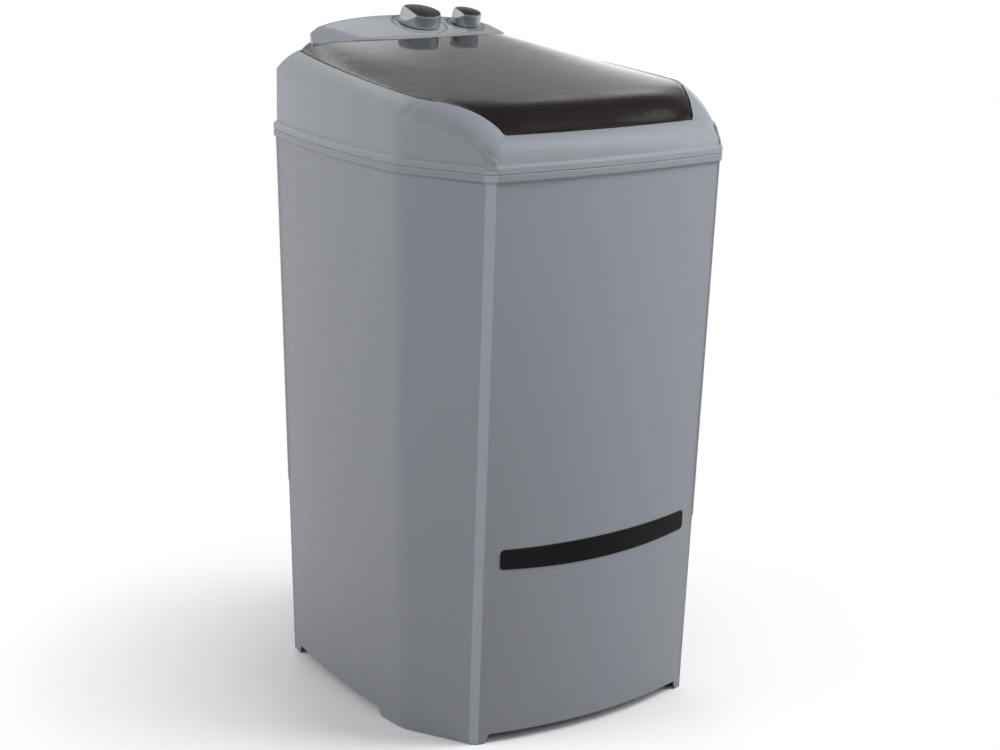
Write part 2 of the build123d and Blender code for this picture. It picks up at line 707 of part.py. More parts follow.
def console_plan(inset, z):
    """Console's plan: bowed front, pointed ends and round back."""
    fx, fy = CON_FRONT_X - inset, CON_FRONT_Y + inset
    ex, ey = CON_END_X - inset, CON_END_Y + inset * 0.4
    bx, by = CON_BACK_X - inset, CON_BACK_Y - inset * 0.6
    front = Edge.make_three_point_arc((-fx, fy), (0, CON_FRONT_MID + inset), (fx, fy))
    back = Edge.make_three_point_arc((-bx, by), (0, CON_BACK - inset), (bx, by))
    ends = []
    for s in (-1, 1):
        ends.append(Edge.make_line((s * fx, fy), (s * ex, ey)))
        ends.append(Edge.make_line((s * ex, ey), (s * bx, by)))
    return Pos(0, 0, z) * Face(Wire([front, back] + ends))


def deck_plan(z):
    """Plan from the lid's well out to the back wall."""
    gap = gap_sizes(-WALL - 0.5)
    fa, fb, ba, bb, ra, rb = half_points(gap)
    outer = wall_sizes(SEAM_Z, DECK_IN)
    corner = half_points(outer)[5]
    front = Edge.make_three_point_arc(fa, Vector(0, -gap["front_y"]), flip(fa))
    left = side_edges(gap)[:4] + [Edge.make_line(ra, corner)]
    back = Edge.make_three_point_arc(corner, Vector(0, outer["back_y"]), flip(corner))
    return Pos(0, 0, z) * Face(Wire(left + mirrored(left) + [front, back]))


def skirt_low(y):
    """Lower edge of the lid's skirt."""
    return SEAM_Z + LID_SKIRT_LOW + LID_SKIRT_SLOPE * (y + DEPTH / 2 - GAP_FRONT_IN)


@lru_cache
def gap_side(inset):
    """Points down the lid gap's side, front to back, as half widths and Y."""
    edges = side_edges(gap_sizes(inset))[1:4]
    points = [edge @ (i / GAP_STEPS) for edge in edges for i in range(GAP_STEPS + 1)]
    return [(-p.X, p.Y) for p in points]


def gap_x(y, inset=0.0):
    """Half width of the lid gap at a place along the side."""
    line = gap_side(inset)
    if y <= line[0][1]:
        return line[0][0]
    for (xa, ya), (xb, yb) in zip(line, line[1:]):
        if ya <= y < yb:
            return xa + (xb - xa) * (y - ya) / (yb - ya)
    return line[-1][0]


def tub_screw_places():
    step = 360.0 / TUB_SCREWS
    return [(SCREW_PCD * math.sin(math.radians(step * (i + 0.5))),
             TUB_Y + SCREW_PCD * math.cos(math.radians(step * (i + 0.5)))) for i in range(TUB_SCREWS)]


def console_screw_places():
    return [(s * x, y) for x, y in (CON_SCREW_FRONT, CON_SCREW_BACK) for s in (-1, 1)]


def corner_ridge():
    """Ridge that carries the left corner strip on over the shoulder and fades along the bevel."""
    _, strip_end, bend, _, _, _ = half_points(wall_sizes(SEAM_Z))
    along = (bend - strip_end).normalized()
    lean = math.radians(RIDGE_LEAN)
    side_out = Vector(-along.Y, along.X, 0)
    face_0 = Vector(-1, -1, 0).normalized()
    face_1 = side_out * math.cos(lean) + Vector(0, 0, math.sin(lean))
    edge = [Vector(strip_end.X, strip_end.Y, SEAM_Z + BAND_H - 4)]
    for i in range(RIDGE_STEPS):
        p = strip_end + along * (RIDGE_RUN * (i / (RIDGE_STEPS - 1)) ** 1.5 + 2.5)
        edge.append(Vector(p.X, p.Y, bevel_z(p.Y)))
    wires = []
    for i, p in enumerate(edge):
        fade = math.cos(math.pi / 2 * i / RIDGE_STEPS)
        way = (edge[min(i + 1, RIDGE_STEPS)] - edge[max(i - 1, 0)]).normalized()
        out = (face_0 * fade + face_1 * (1 - fade)).normalized()
        across = way.cross(out).normalized()
        wide = across * (2 * STRIP_RUN * math.sqrt(2) * fade + 1)
        far = out * (STRIP_PROUD * fade - 0.3 * (1 - fade))
        near = out * (1 - WALL)
        wires.append(Wire.make_polygon([p + far, p + wide + far, p + wide + near, p + near], close=True))
    return Solid.make_loft(wires, False)


def top_frame():
    front, corner, facet, bend, arc, back = ring_stations()
    left = ring_loft(corner) + ring_loft(facet) + ring_loft(bend)
    left = left + ring_loft(arc) + ring_loft([arc[-1], back[0]], True)
    left = left + corner_ridge()
    frame = ring_loft(front) + left + left.mirror(Plane.YZ)
    frame += ring_loft(back)
    top = SEAM_Z + BAND_H
    band = wall_body(SEAM_Z, SEAM_Z + SEAM_V, -BAND + SEAM_V, SEAM_Z, SEAM_Z, -BAND)
    band += wall_body(SEAM_Z + SEAM_V, top - 3, -BAND, SEAM_Z, SEAM_Z)
    band += wall_body(top - 3, top, -BAND, SEAM_Z, SEAM_Z, -BAND + 3)
    frame += band - wall_body(SEAM_Z - 1, top + 1, WALL + 0.6, SEAM_Z, SEAM_Z)
    deck_low = SEAM_Z + DECK_Z - DECK_T
    frame += Solid.extrude(deck_plan(deck_low), Vector(0, 0, DECK_T))
    for y in LEDGE_Y:
        for s in (-1, 1):
            x = gap_x(y)
            top_z = skirt_low(y) - CUSHION
            block = box_between((x - LEDGE_OUT, y - LEDGE_W / 2, deck_low + 1),
                                (x + 2.0, y + LEDGE_W / 2, top_z))
            frame += block if s > 0 else block.mirror(Plane.YZ)
    frame -= cyl(TUB_R, SEAM_Z, top + DECK_Z, 0, TUB_Y)
    for x, y in tub_screw_places():
        frame -= cyl(SCREW_R, SEAM_Z, top + DECK_Z, x, y)
    frame -= cyl(WIRE_HOLE_R, SEAM_Z, top + DECK_Z, *WIRE_HOLE)
    for x, y in console_screw_places():
        frame -= cyl(SCREW_R, SEAM_Z, top + DECK_Z, x, y)
    return frame


# Console


def console_top_z(y):
    return SEAM_Z + CON_TOP_Z + (y - CON_TOP_Y) * math.tan(math.radians(CON_SLOPE))


def panel_frame():
    """Frame of the tilted panel: Z along the knob shafts."""
    tilt = math.radians(CON_SLOPE)
    normal = Vector(0, -math.sin(tilt), math.cos(tilt))
    return Plane(origin=Vector(0, CON_TOP_Y, SEAM_Z + CON_TOP_Z), x_dir=(1, 0, 0), z_dir=normal)


def front_lip_y(x):
    """Front edge of the console in plan."""
    return CON_FRONT_MID + (CON_FRONT_Y - CON_FRONT_MID) * (x / CON_FRONT_X) ** 2


def front_planes():
    """Cuts in front of the panel: an end facet each side and the lip's bevel."""
    planes = []
    for s in (-1, 1):
        on_lip = Vector(s * FACET_X[0], front_lip_y(FACET_X[0]), console_top_z(front_lip_y(FACET_X[0])))
        on_top = Vector(s * FACET_X[1], FACET_Y, console_top_z(FACET_Y))
        end = Vector(s * CON_FRONT_X, CON_FRONT_Y, SEAM_Z + LIP_END_Z)
        normal = (on_top - on_lip).cross(end - on_lip)
        normal = normal * (1 if normal.Z > 0 else -1)
        planes.append(Plane(origin=on_lip, x_dir=(1, 0, 0), z_dir=normal))
    mid = Vector(0, CON_FRONT_MID, SEAM_Z + LIP_Z)
    planes.append(Plane(origin=mid, x_dir=(1, 0, 0), z_dir=(0, -1, 1)))
    return planes


def above(plane, drop):
    """Large block above a plane that is lowered along its normal."""
    big = 3 * WIDTH
    return plane.offset(-drop) * Pos(0, 0, big / 2) * Box(big, big, big)


def console_block(inset, z0):
    """Console's solid envelope, moved in by an inset."""
    block = Solid.extrude(console_plan(inset, z0), Vector(0, 0, 400))
    block = block - above(panel_frame(), inset)
    for plane in front_planes():
        block = block - above(plane, inset)
    return block


def knob_plane(at, lift=0.0):
    """Frame of a knob: on the panel, Z along its shaft."""
    p = Vector(at[0], at[1], console_top_z(at[1])) + panel_frame().z_dir * lift
    return Plane(origin=p, x_dir=(1, 0, 0), z_dir=panel_frame().z_dir)


def panel_prism(grow):
    """Outline of the printed panel in plan, run upwards."""
    half = PANEL_HALF + grow
    inner = FACET_X[0] - 10.0 + grow
    y_front = front_lip_y(inner) + 7.0 - grow
    y_back = console_back_y(half) - 4.0 + grow
    front = Edge.make_three_point_arc((-inner, y_front), (0, CON_FRONT_MID + 9.0 - grow), (inner, y_front))
    back = Edge.make_three_point_arc((-half, y_back), (0, CON_BACK - 5.0 + grow), (half, y_back))
    edges = [front, back]
    for s in (-1, 1):
        edges.append(Edge.make_line((s * inner, y_front), (s * half, y_back - 5)))
        edges.append(Edge.make_line((s * half, y_back - 5), (s * half, y_back)))
    return Solid.extrude(Pos(0, 0, SEAM_Z) * Face(Wire(edges)), Vector(0, 0, 400))


def slab(plane, low, high):
    """Slab between two heights over a plane."""
    big = 3 * WIDTH
    return plane.offset((low + high) / 2) * Box(big, big, high - low)


def console_housing():
    z0 = SEAM_Z + DECK_Z
    shell = console_block(0, z0) - console_block(CON_WALL, z0 - 1)
    shell -= panel_prism(0.4) & slab(panel_frame(), -PANEL_SINK, 50)
    for x, y in console_screw_places():
        reach = CON_WALL + CON_BOSS_R + 3
        wall = y - reach if y < CON_TOP_Y else y + reach
        web = box_between((x - 2, min(y, wall), z0), (x + 2, max(y, wall), z0 + CON_BOSS_H))
        shell += cyl(CON_BOSS_R, z0, z0 + CON_BOSS_H, x, y) + (web & console_block(1, z0))
        shell -= cyl(SCREW_R, z0 - 1, z0 + CON_BOSS_H - 4, x, y)
    for at in (KNOB_A, KNOB_B):
        shell -= knob_plane(at) * Cylinder(BUSH_R + 0.1, 40)
    return shell


def panel_holes():
    holes = [knob_plane(at) * Cylinder(PANEL_HOLE_R, 40) for at in (KNOB_A, KNOB_B)]
    return holes[0] + holes[1]


def console_panel():
    sheet = panel_prism(0.0) & slab(panel_frame(), -PANEL_SINK, PANEL_T - PANEL_SINK)
    return sheet - panel_holes()


def switch_case(at, size, terminals):
    """Timer or selector case under the panel, with its bush, ears and terminals."""
    w, d, h = size
    face = -CON_WALL
    case = Pos(0, 0, face - h / 2) * Box(w, d, h)
    case = fillet(case.edges().filter_by(Axis.Z), 3)
    case += Pos(0, 0, face - h * 0.35) * Box(w + 10, 14, 2.5)
    case += cyl(BUSH_R, face - 1, BUSH_H)
    step = w / (terminals + 1)
    for i in range(terminals):
        case += Pos(step * (i + 1) - w / 2, 0, face - h - 4) * Box(4.8, 0.8, 8.5)
    case -= cyl(SHAFT_R + SHAFT_RUN, face - h * 0.7, BUSH_H + 1)
    return knob_plane(at) * case


def case_nut(at):
    nut = extrude(RegularPolygon(BUSH_R + 3.2, 6), NUT_H) - cyl(BUSH_R, -1, NUT_H + 1)
    return knob_plane(at) * nut


def case_nuts():
    return group([case_nut(at) for at in (KNOB_A, KNOB_B)])


# Knobs: skirted caps with one slanted grip face and a dark domed insert


def grip_cut(r, h, more=0.0):
    """Block outside the slanted grip face."""
    big = 4 * r
    lean = Pos(GRIP_AT * r + more, 0, h) * Rot(0, -GRIP_SLOPE, 0)
    block = lean * Pos(big / 2, 0, 0) * Box(big, big, 3 * big)
    return Rot(0, 0, GRIP_DIR) * block


def knob_cap(at, r, h):
    """Knob with skirt, hollow, hub and grip face."""
    floor = h - INSERT_T
    profile = make_face(Polyline(
        (0, h - KNOB_TOP_T), (r - KNOB_SKIRT_T - 0.8, h - KNOB_TOP_T), (r - KNOB_SKIRT_T, KNOB_LIFT),
        (r, KNOB_LIFT), (r - 0.9, h - 1.2), (r - 2.0, h), (r - INSERT_IN, h), (r - INSERT_IN, floor),
        (0, floor), close=True))
    cap = revolve(Plane.XZ * profile, Axis.Z)
    land = Rot(0, 0, GRIP_DIR) * Pos(GRIP_AT * r - 1 + r / 2, 0, floor) * Box(r, 2 * r, 2 * INSERT_T)
    cap += land & cyl(r - INSERT_IN + 0.5, floor - 0.5, h)
    core = cyl(r - KNOB_SKIRT_T - 0.2, KNOB_LIFT, floor)
    cap += (grip_cut(r, h, -KNOB_TOP_T) - grip_cut(r, h, -0.2)) & core
    cap += cyl(SHAFT_R + HUB_T, BUSH_H + 1, h - KNOB_TOP_T + 0.5)
    cap -= grip_cut(r, h)
    cap -= cyl(SHAFT_R + 0.02, 0, h - KNOB_TOP_T)
    return knob_plane(at) * cap


def knob_insert(at, r, h):
    """Domed dark insert on the knob's top, cut straight along the grip face."""
    rim = r - INSERT_IN - 0.1
    floor = h - INSERT_T
    low = Edge.make_line((0, 0, floor), (rim, 0, floor))
    side = Edge.make_line((rim, 0, floor), (rim, 0, h + INSERT_EDGE))
    rise = INSERT_DOME - INSERT_EDGE
    edge_z = h + INSERT_EDGE
    dome = Edge.make_three_point_arc((rim, 0, edge_z), (rim / 2, 0, edge_z + rise * 0.75),
                                     (0, 0, edge_z + rise))
    axis = Edge.make_line((0, 0, h + INSERT_DOME), (0, 0, floor))
    body = revolve(Face(Wire([low, side, dome, axis])), Axis.Z)
    body -= Rot(0, 0, GRIP_DIR) * Pos(GRIP_AT * r - 1.2 + r, 0, h) * Box(2 * r, 4 * r, 4 * h)
    return knob_plane(at) * body


def knob_shaft(at, size, h):
    low = -CON_WALL - size[2] * 0.7 + FIT
    return knob_plane(at) * cyl(SHAFT_R, low, h - KNOB_TOP_T - FIT)


# Lid


def lid_middle_z(x, y):
    """Sloped middle of the lid with its roll at the front."""
    yy = y - LID_BEND_SAG * (x / GAP_CORNER_X) ** 2
    front = -(DEPTH / 2 - LID_ROLL_FROM)
    roll = max(0.0, (front - yy) / LID_ROLL)
    return SEAM_Z + LID_MID_Z + LID_SLOPE * yy - LID_ROLL_DROP * roll ** 3


def lid_section(y, drop):
    """Upright section across the lid: the sides turn down to meet the rim."""
    half = gap_x(y)
    power = LID_EDGE_POWER + LID_EDGE_GROWTH * max(y, 0.0)
    edge_drop = max(lid_middle_z(half, y) - rim_z(y) + LID_EDGE_LOW, 0.0)
    points = []
    for reach in LID_REACH:
        x = reach * half
        far = abs(reach)
        turn = far ** power if far <= 1 else 1 + power * (far - 1)
        points.append(Vector(x, y, lid_middle_z(x, y) - edge_drop * turn - drop))
    low = SEAM_Z - 20
    first, last = points[0], points[-1]
    corners_low = Vector(first.X, y, low), Vector(last.X, y, low)
    return Wire([
        Edge.make_spline(points),
        Edge.make_line(last, corners_low[1]),
        Edge.make_line(corners_low[1], corners_low[0]),
        Edge.make_line(corners_low[0], first),
    ])


def lid_skin(drop):
    """Solid under the lid's outer surface."""
    y0, y1 = -DEPTH / 2, LID_TAIL_Y + 12
    count = round((y1 - y0) / LID_STEP)
    wires = [lid_section(y0 + (y1 - y0) * i / count, drop) for i in range(count + 1)]
    return Solid.make_loft(wires, False)


def lid_prism(inset):
    """Lid's plan, run upwards."""
    low = SEAM_Z
    block = Solid.extrude(plan_face(gap_sizes(LID_GAP + inset), low), Vector(0, 0, 400))
    block = block - Solid.extrude(console_plan(-LID_GAP - inset, low - 1), Vector(0, 0, 402))
    return block - box_between((-WIDTH, LID_TAIL_Y - inset, low - 1), (WIDTH, DEPTH, low + 401))


def under_skirt(drop=0.0):
    """Everything under the skirt's lower edge."""
    y0, y1 = -DEPTH, DEPTH
    corner = [(y0, 0), (y1, 0), (y1, skirt_low(y1) - drop), (y0, skirt_low(y0) - drop)]
    face = make_face(Polyline(*corner, close=True))
    return extrude(Plane.YZ * face, WIDTH, both=True)


def lid_shell():
    shell = (lid_prism(0) & lid_skin(0)) - (lid_prism(LID_T) & lid_skin(LID_T))
    return shell - under_skirt()


def lid_cushions():
    """Soft pads on the ledges that carry the lid."""
    pads = []
    for y in LEDGE_Y:
        low = skirt_low(y) - CUSHION
        near, far = y - LEDGE_W / 2 + 3, y + LEDGE_W / 2 - 3
        x = min(gap_x(near), gap_x(far)) - FIT
        pad = box_between((gap_x(y) - LEDGE_OUT + 1, near, low), (x, far, low + 2 * CUSHION))
        pad = pad & under_skirt(FIT)
        pads += [pad, pad.mirror(Plane.YZ)]
    return group(pads)


# Screws

def screw(x, y, z_seat, length, up, r=SCREW_R, head_r=4.3, head_h=2.4):
    """Pan head screw; its head's face seats at z_seat and its shank runs the other way."""
    d = 1 if up else -1
    tip, side, crown = z_seat + d * length, z_seat - d * head_h * 0.4, z_seat - d * head_h
    points = [(0, tip), (r, tip), (r, z_seat), (head_r, z_seat),
              (head_r, side), (head_r * 0.6, crown), (0, crown)]
    return turned(points, x, y)


def tub_screws():
    return group([screw(x, y, SEAM_Z + DECK_Z, 10, False) for x, y in tub_screw_places()])


def console_screws():
    seat = SEAM_Z + DECK_Z - DECK_T
    return group([screw(x, y, seat, 15, True) for x, y in console_screw_places()])


# Tub


def tub_wall_r(z):
    """Inner radius of the tub's wall."""
    return TUB_LOW_R + (TUB_R - TUB_LOW_R) * (z - TUB_FLOOR) / (TUB_TOP - TUB_FLOOR)


def bracket_frame():
    """Frame with X from the tub's axis to the motor's axis."""
    return Pos(0, TUB_Y, 0) * Rot(0, 0, MOTOR_ANGLE)


def boss_places():
    return [(u, s * BOSS_V) for u in BOSS_U for s in (-1, 1)]


def tub_cup(grow):
    """Solid inside the tub's wall, moved out by a wall's thickness."""
    floor = TUB_FLOOR - grow
    bend = TUB_BEND + grow
    low_r = TUB_LOW_R + grow
    top_r = TUB_R + grow
    top = TUB_TOP + (1 if grow == 0 else 0)
    start = Vector(low_r - bend, 0, floor)
    half = bend * math.sqrt(0.5)
    turn = Vector(low_r - bend + half, 0, floor + bend - half)
    end = Vector(low_r, 0, floor + bend)
    edges = [
        Edge.make_line((0, 0, floor), start),
        Edge.make_three_point_arc(start, turn, end),
        Edge.make_line(end, (top_r, 0, top)),
        Edge.make_line((top_r, 0, top), (0, 0, top)),
        Edge.make_line((0, 0, top), (0, 0, floor)),
    ]
    return Pos(0, TUB_Y, 0) * revolve(Face(Wire(edges)), Axis.Z)


def tub():
    body = tub_cup(TUB_T)
    for z in TUB_HOOPS:
        body += cyl(tub_wall_r(z) + TUB_T + HOOP_OUT, z, z + HOOP_T, 0, TUB_Y)
    body += cyl(RIM_R, TUB_TOP - TUB_FLANGE_T, TUB_TOP, 0, TUB_Y)
    low = TUB_FLOOR - TUB_T
    for i in range(FLOOR_RIBS):
        turn = Rot(0, 0, MOTOR_ANGLE + (i + 0.5) * 360 / FLOOR_RIBS)
        near, far = FLOOR_RIB_R
        rib = box_between((near, -RIB_T / 2, low - FLOOR_RIB_H), (far, RIB_T / 2, low + 8))
        body += Pos(0, TUB_Y, 0) * turn * rib
    for u, v in boss_places():
        body += bracket_frame() * cyl(TUB_BOSS_R, BRACKET_Z + BRACKET_T, TUB_FLOOR + 14, u, v)
    body -= tub_cup(0)
    body += cyl(TUB_PAD_R, low, TUB_PAD_TOP, 0, TUB_Y)
    body -= cyl(TUB_HOLE_R, low - 1, TUB_PAD_TOP + 1, 0, TUB_Y)
    for x, y in housing_bolt_places():
        body -= cyl(PILOT_R, low - 1, TUB_PAD_TOP - 2, x, y)
    body += cyl(HOSE_R + 4, low - 3, low + 1, *OUTLET_AT)
    body -= cyl(HOSE_BORE_R, low - 4, TUB_FLOOR + 1, *OUTLET_AT)
    for u, v in boss_places():
        body -= bracket_frame() * cyl(PILOT_R, BRACKET_Z, BRACKET_Z + BRACKET_T + 16, u, v)
    for x, y in tub_screw_places():
        body -= cyl(SCREW_R, TUB_TOP - 10, TUB_TOP + 1, x, y)
    return body


# Bearing housing, bearings, seal and shaft


def housing_bolt_places():
    step = 360 / HOUSING_BOLTS
    return [(HOUSING_BOLT_R * math.cos(math.radians(step * i)),
             TUB_Y + HOUSING_BOLT_R * math.sin(math.radians(step * i))) for i in range(HOUSING_BOLTS)]


def bearing_housing():
    body = turned([
        (HOUSING_BORE_R, HOUSING_LOW), (HOUSING_R, HOUSING_LOW),
        (HOUSING_R + 3, HOUSING_TOP - HOUSING_FLANGE_T),
        (HOUSING_FLANGE_R, HOUSING_TOP - HOUSING_FLANGE_T), (HOUSING_FLANGE_R, HOUSING_TOP),
        (HOUSING_BORE_R, HOUSING_TOP)], 0, TUB_Y)
    flange_low = HOUSING_TOP - HOUSING_FLANGE_T
    for i in range(HOUSING_BOLTS):
        corner = [(HOUSING_R - 2, flange_low - 60), (HOUSING_R + 1, flange_low - 60),
                  (HOUSING_FLANGE_R - 3, flange_low + 1), (HOUSING_R - 2, flange_low + 1)]
        web = make_face(Polyline(*corner, close=True))
        plate = extrude(Plane.XZ * web, 2, both=True)
        body += Pos(0, TUB_Y, 0) * Rot(0, 0, (i + 0.5) * 360 / HOUSING_BOLTS) * plate
    body -= cyl(BEARING_R, HOUSING_LOW - 1, BEARING_Z[0] + BEARING_H, 0, TUB_Y)
    body -= cyl(BEARING_R, BEARING_Z[1], HOUSING_TOP - SEAL_H, 0, TUB_Y)
    body -= cyl(SEAL_R, HOUSING_TOP - SEAL_H - 1, HOUSING_TOP + 1, 0, TUB_Y)
    for x, y in housing_bolt_places():
        body -= cyl(SCREW_R + 0.3, flange_low - 1, HOUSING_TOP + 1, x, y)
    return body


def housing_bolts():
    seat = HOUSING_TOP - HOUSING_FLANGE_T
    return group([screw(x, y, seat, 10, True, PILOT_R, 4.3, 4.0) for x, y in housing_bolt_places()])


def bearing(z):
    """Ball bearing with its two rings and shield groove."""
    r0 = DRIVE_R + SHAFT_RUN
    r1 = BEARING_R - 0.02
    ring_in, ring_out = r0 + 3, r1 - 3
    return turned([
        (r0, z), (ring_in, z), (ring_in, z + 1), (ring_out, z + 1), (ring_out, z), (r1, z),
        (r1, z + BEARING_H), (ring_out, z + BEARING_H), (ring_out, z + BEARING_H - 1),
        (ring_in, z + BEARING_H - 1), (ring_in, z + BEARING_H), (r0, z + BEARING_H)], 0, TUB_Y)


def shaft_seal():
    z0, z1 = HOUSING_TOP - SEAL_H + FIT, HOUSING_TOP - 0.5
    lip = DRIVE_R + 0.08
    return turned([
        (DRIVE_R + 2.5, z0), (SEAL_R - 0.02, z0), (SEAL_R - 0.02, z1), (DRIVE_R + 4, z1),
        (DRIVE_R + 4, z0 + 3), (lip, z1 - 1), (lip, z1 - 2)], 0, TUB_Y)


def drive_shaft():
    collar = BEARING_Z[0] + BEARING_H + FIT
    return turned([
        (0, SHAFT_LOW), (THREAD_R, SHAFT_LOW), (THREAD_R, NUT_SEAT), (DRIVE_R, NUT_SEAT), (DRIVE_R, collar),
        (DRIVE_R + 2.5, collar), (DRIVE_R + 2.5, collar + 4), (DRIVE_R, collar + 4), (DRIVE_R, SHAFT_TOP),
        (AGI_SCREW_R, SHAFT_TOP), (AGI_SCREW_R, SHAFT_TOP - 16), (0, SHAFT_TOP - 16)], 0, TUB_Y)


# Agitator


def agitator_profile(drop):
    """Outer skin of the agitator as a face to turn, lowered by a wall."""
    rim = Vector(AGI_R - drop, 0, AGI_LOW)
    lip = Vector(AGI_R - drop, 0, AGI_LOW + 7 - drop)
    knee = Vector(AGI_HUB_R + 32 - drop * 0.5, 0, AGI_LOW + 26 - drop)
    neck = Vector(AGI_HUB_R - drop, 0, AGI_LOW + 60)
    crown = Vector(AGI_HUB_R - 4 - drop, 0, AGI_TOP - 12)
    top = Vector(0, 0, AGI_TOP - drop)
    edges = [
        Edge.make_line((0, 0, AGI_LOW), rim),
        Edge.make_line(rim, lip),
        Edge.make_line(lip, knee),
        Edge.make_tangent_arc(knee, knee - lip, neck),
        Edge.make_line(neck, crown),
        Edge.make_three_point_arc(crown, (crown.X * 0.72, 0, AGI_TOP - 3 - drop), top),
        Edge.make_line(top, (0, 0, AGI_LOW)),
    ]
    return Face(Wire(edges))


def agitator():
    body = revolve(agitator_profile(0), Axis.Z)
    fin = make_face(Polyline(
        (AGI_HUB_R - 8, AGI_LOW + 2), (AGI_FIN_R, AGI_LOW + 2), (AGI_FIN_R, AGI_LOW + 14),
        (AGI_FIN_R - 40, AGI_LOW + 30), (AGI_HUB_R + 18, AGI_LOW + 62), (AGI_HUB_R - 2, AGI_LOW + 84),
        (AGI_HUB_R - 8, AGI_LOW + 84), close=True))
    blade = extrude(Plane.XZ * fin, AGI_FIN_T / 2, both=True)
    for i in range(AGI_FINS):
        body += Rot(0, 0, 45 + i * 360 / AGI_FINS) * blade
    body -= revolve(agitator_profile(AGI_T), Axis.Z)
    hub = cyl(DRIVE_R + 5, AGI_LOW, AGI_TOP)
    for i in range(AGI_FINS):
        web = box_between((DRIVE_R + 3, -1.2, AGI_LOW + 4), (AGI_R - 30, 1.2, AGI_TOP - 8))
        hub += Rot(0, 0, i * 360 / AGI_FINS) * web
    body += hub & revolve(agitator_profile(0.6), Axis.Z)
    body -= cyl(DRIVE_R + 0.02, AGI_LOW - 1, SHAFT_TOP + FIT)
    body -= cyl(AGI_SCREW_R + 0.1, SHAFT_TOP - 1, AGI_TOP + 1)
    body -= cyl(AGI_SCREW_R + 4.5, AGI_TOP - 14, AGI_TOP + 1)
    for i in range(AGI_HOLES):
        turn = Rot(0, 0, (i + 0.5) * 360 / AGI_HOLES)
        body -= turn * cyl(5, AGI_LOW - 1, AGI_LOW + 40, AGI_R - 40, 0)
    return Pos(0, TUB_Y, 0) * body


def agitator_screw():
    return screw(0, TUB_Y, AGI_TOP - 14, 26, False, AGI_SCREW_R - 0.02, 7.0, 4.0)


# Pulleys and belt


def pulley(r, hub_r, bore_r, z_hub0, z_hub1, web=True):
    """Grooved pulley about the Z axis, around the belt's plane."""
    z0, z1 = PULLEY_Z - PULLEY_W / 2, PULLEY_Z + PULLEY_W / 2
    inner = max(r - GROOVE_DEEP - 5, bore_r + 3)
    rim = turned([
        (inner, z0), (r, z0), (r, PULLEY_Z - GROOVE_TOP / 2), (r - GROOVE_DEEP, PULLEY_Z - GROOVE_LOW / 2),
        (r - GROOVE_DEEP, PULLEY_Z + GROOVE_LOW / 2), (r, PULLEY_Z + GROOVE_TOP / 2), (r, z1), (inner, z1)])
    body = rim + tube(hub_r, bore_r, z_hub0, z_hub1)
    if web:
        body += tube(inner + 1, hub_r - 1, PULLEY_Z - 2.5, PULLEY_Z + 2.5)
        for i in range(PULLEY_SPOKES):
            turn = Rot(0, 0, i * 360 / PULLEY_SPOKES)
            body -= turn * cyl((inner - hub_r) * 0.33, z0, z1, (inner + hub_r) / 2, 0)
    else:
        body += tube(inner + 1, bore_r, z0, z1)
    return body


def drive_pulley():
    body = pulley(PULLEY_R, PULLEY_HUB_R, DRIVE_R + 0.02, NUT_SEAT, BEARING_Z[0] - FIT)
    return Pos(0, TUB_Y, 0) * body


def pulley_nut():
    nut = Pos(0, 0, NUT_SEAT - 9) * extrude(RegularPolygon(12, 6), 9) - cyl(THREAD_R, 0, 2 * NUT_SEAT)
    washer = tube(13.5, THREAD_R, NUT_SEAT - 1.5, NUT_SEAT)
    return Pos(0, TUB_Y, 0) * (nut + washer)


def motor_pulley():
    body = pulley(MOTOR_PULLEY_R, MOTOR_SHAFT_R + 5, MOTOR_SHAFT_R + 0.02,
                  PULLEY_Z - PULLEY_W / 2, PULLEY_Z + PULLEY_W / 2 + 6, False)
    return Pos(*MOTOR_AT, 0) * body


def belt_loop(grow):
    """Closed belt line round both pulleys, moved out from the pulleys' rims."""
    ra, rb = PULLEY_R + grow, MOTOR_PULLEY_R + grow
    lean = math.asin((ra - rb) / MOTOR_REACH)
    c, s = math.cos(lean), math.sin(lean)

    def at(r, u, side):
        return Vector(u + r * s, side * r * c, 0)

    edges = [
        Edge.make_line(at(ra, 0, 1), at(rb, MOTOR_REACH, 1)),
        Edge.make_three_point_arc(at(rb, MOTOR_REACH, 1), (MOTOR_REACH + rb, 0, 0),
                                  at(rb, MOTOR_REACH, -1)),
        Edge.make_line(at(rb, MOTOR_REACH, -1), at(ra, 0, -1)),
        Edge.make_three_point_arc(at(ra, 0, -1), (-ra, 0, 0), at(ra, 0, 1)),
    ]
    return Wire(edges)


def drive_belt():
    """V belt, with clearance to both grooves."""
    half_out, half_in = BELT_W / 2, BELT_W / 2 - 1.9
    outer, inner = belt_loop(0.6), belt_loop(0.6 - BELT_T)
    middle = PULLEY_Z
    out_block = Pos(0, 0, middle - half_out) * Solid.extrude(Face(outer), Vector(0, 0, 2 * half_out))
    hollow = Solid.extrude(Face(inner), Vector(0, 0, 2 * half_out + 2))
    body = out_block - Pos(0, 0, middle - half_out - 1) * hollow
    for s in (-1, 1):
        narrow = Pos(0, 0, middle + s * (half_in - 0.1)) * belt_loop(0.3 - BELT_T)
        wide = Pos(0, 0, middle + s * (half_out + 0.1)) * belt_loop(0.9)
        body -= Solid.make_loft([narrow, wide], True)
    return bracket_frame() * body


# Motor and its bracket


def ear_places():
    step = 360 / MOTOR_EARS
    return [(MOTOR_REACH + EAR_R * math.cos(math.radians(45 + step * i)),
             EAR_R * math.sin(math.radians(45 + step * i))) for i in range(MOTOR_EARS)]


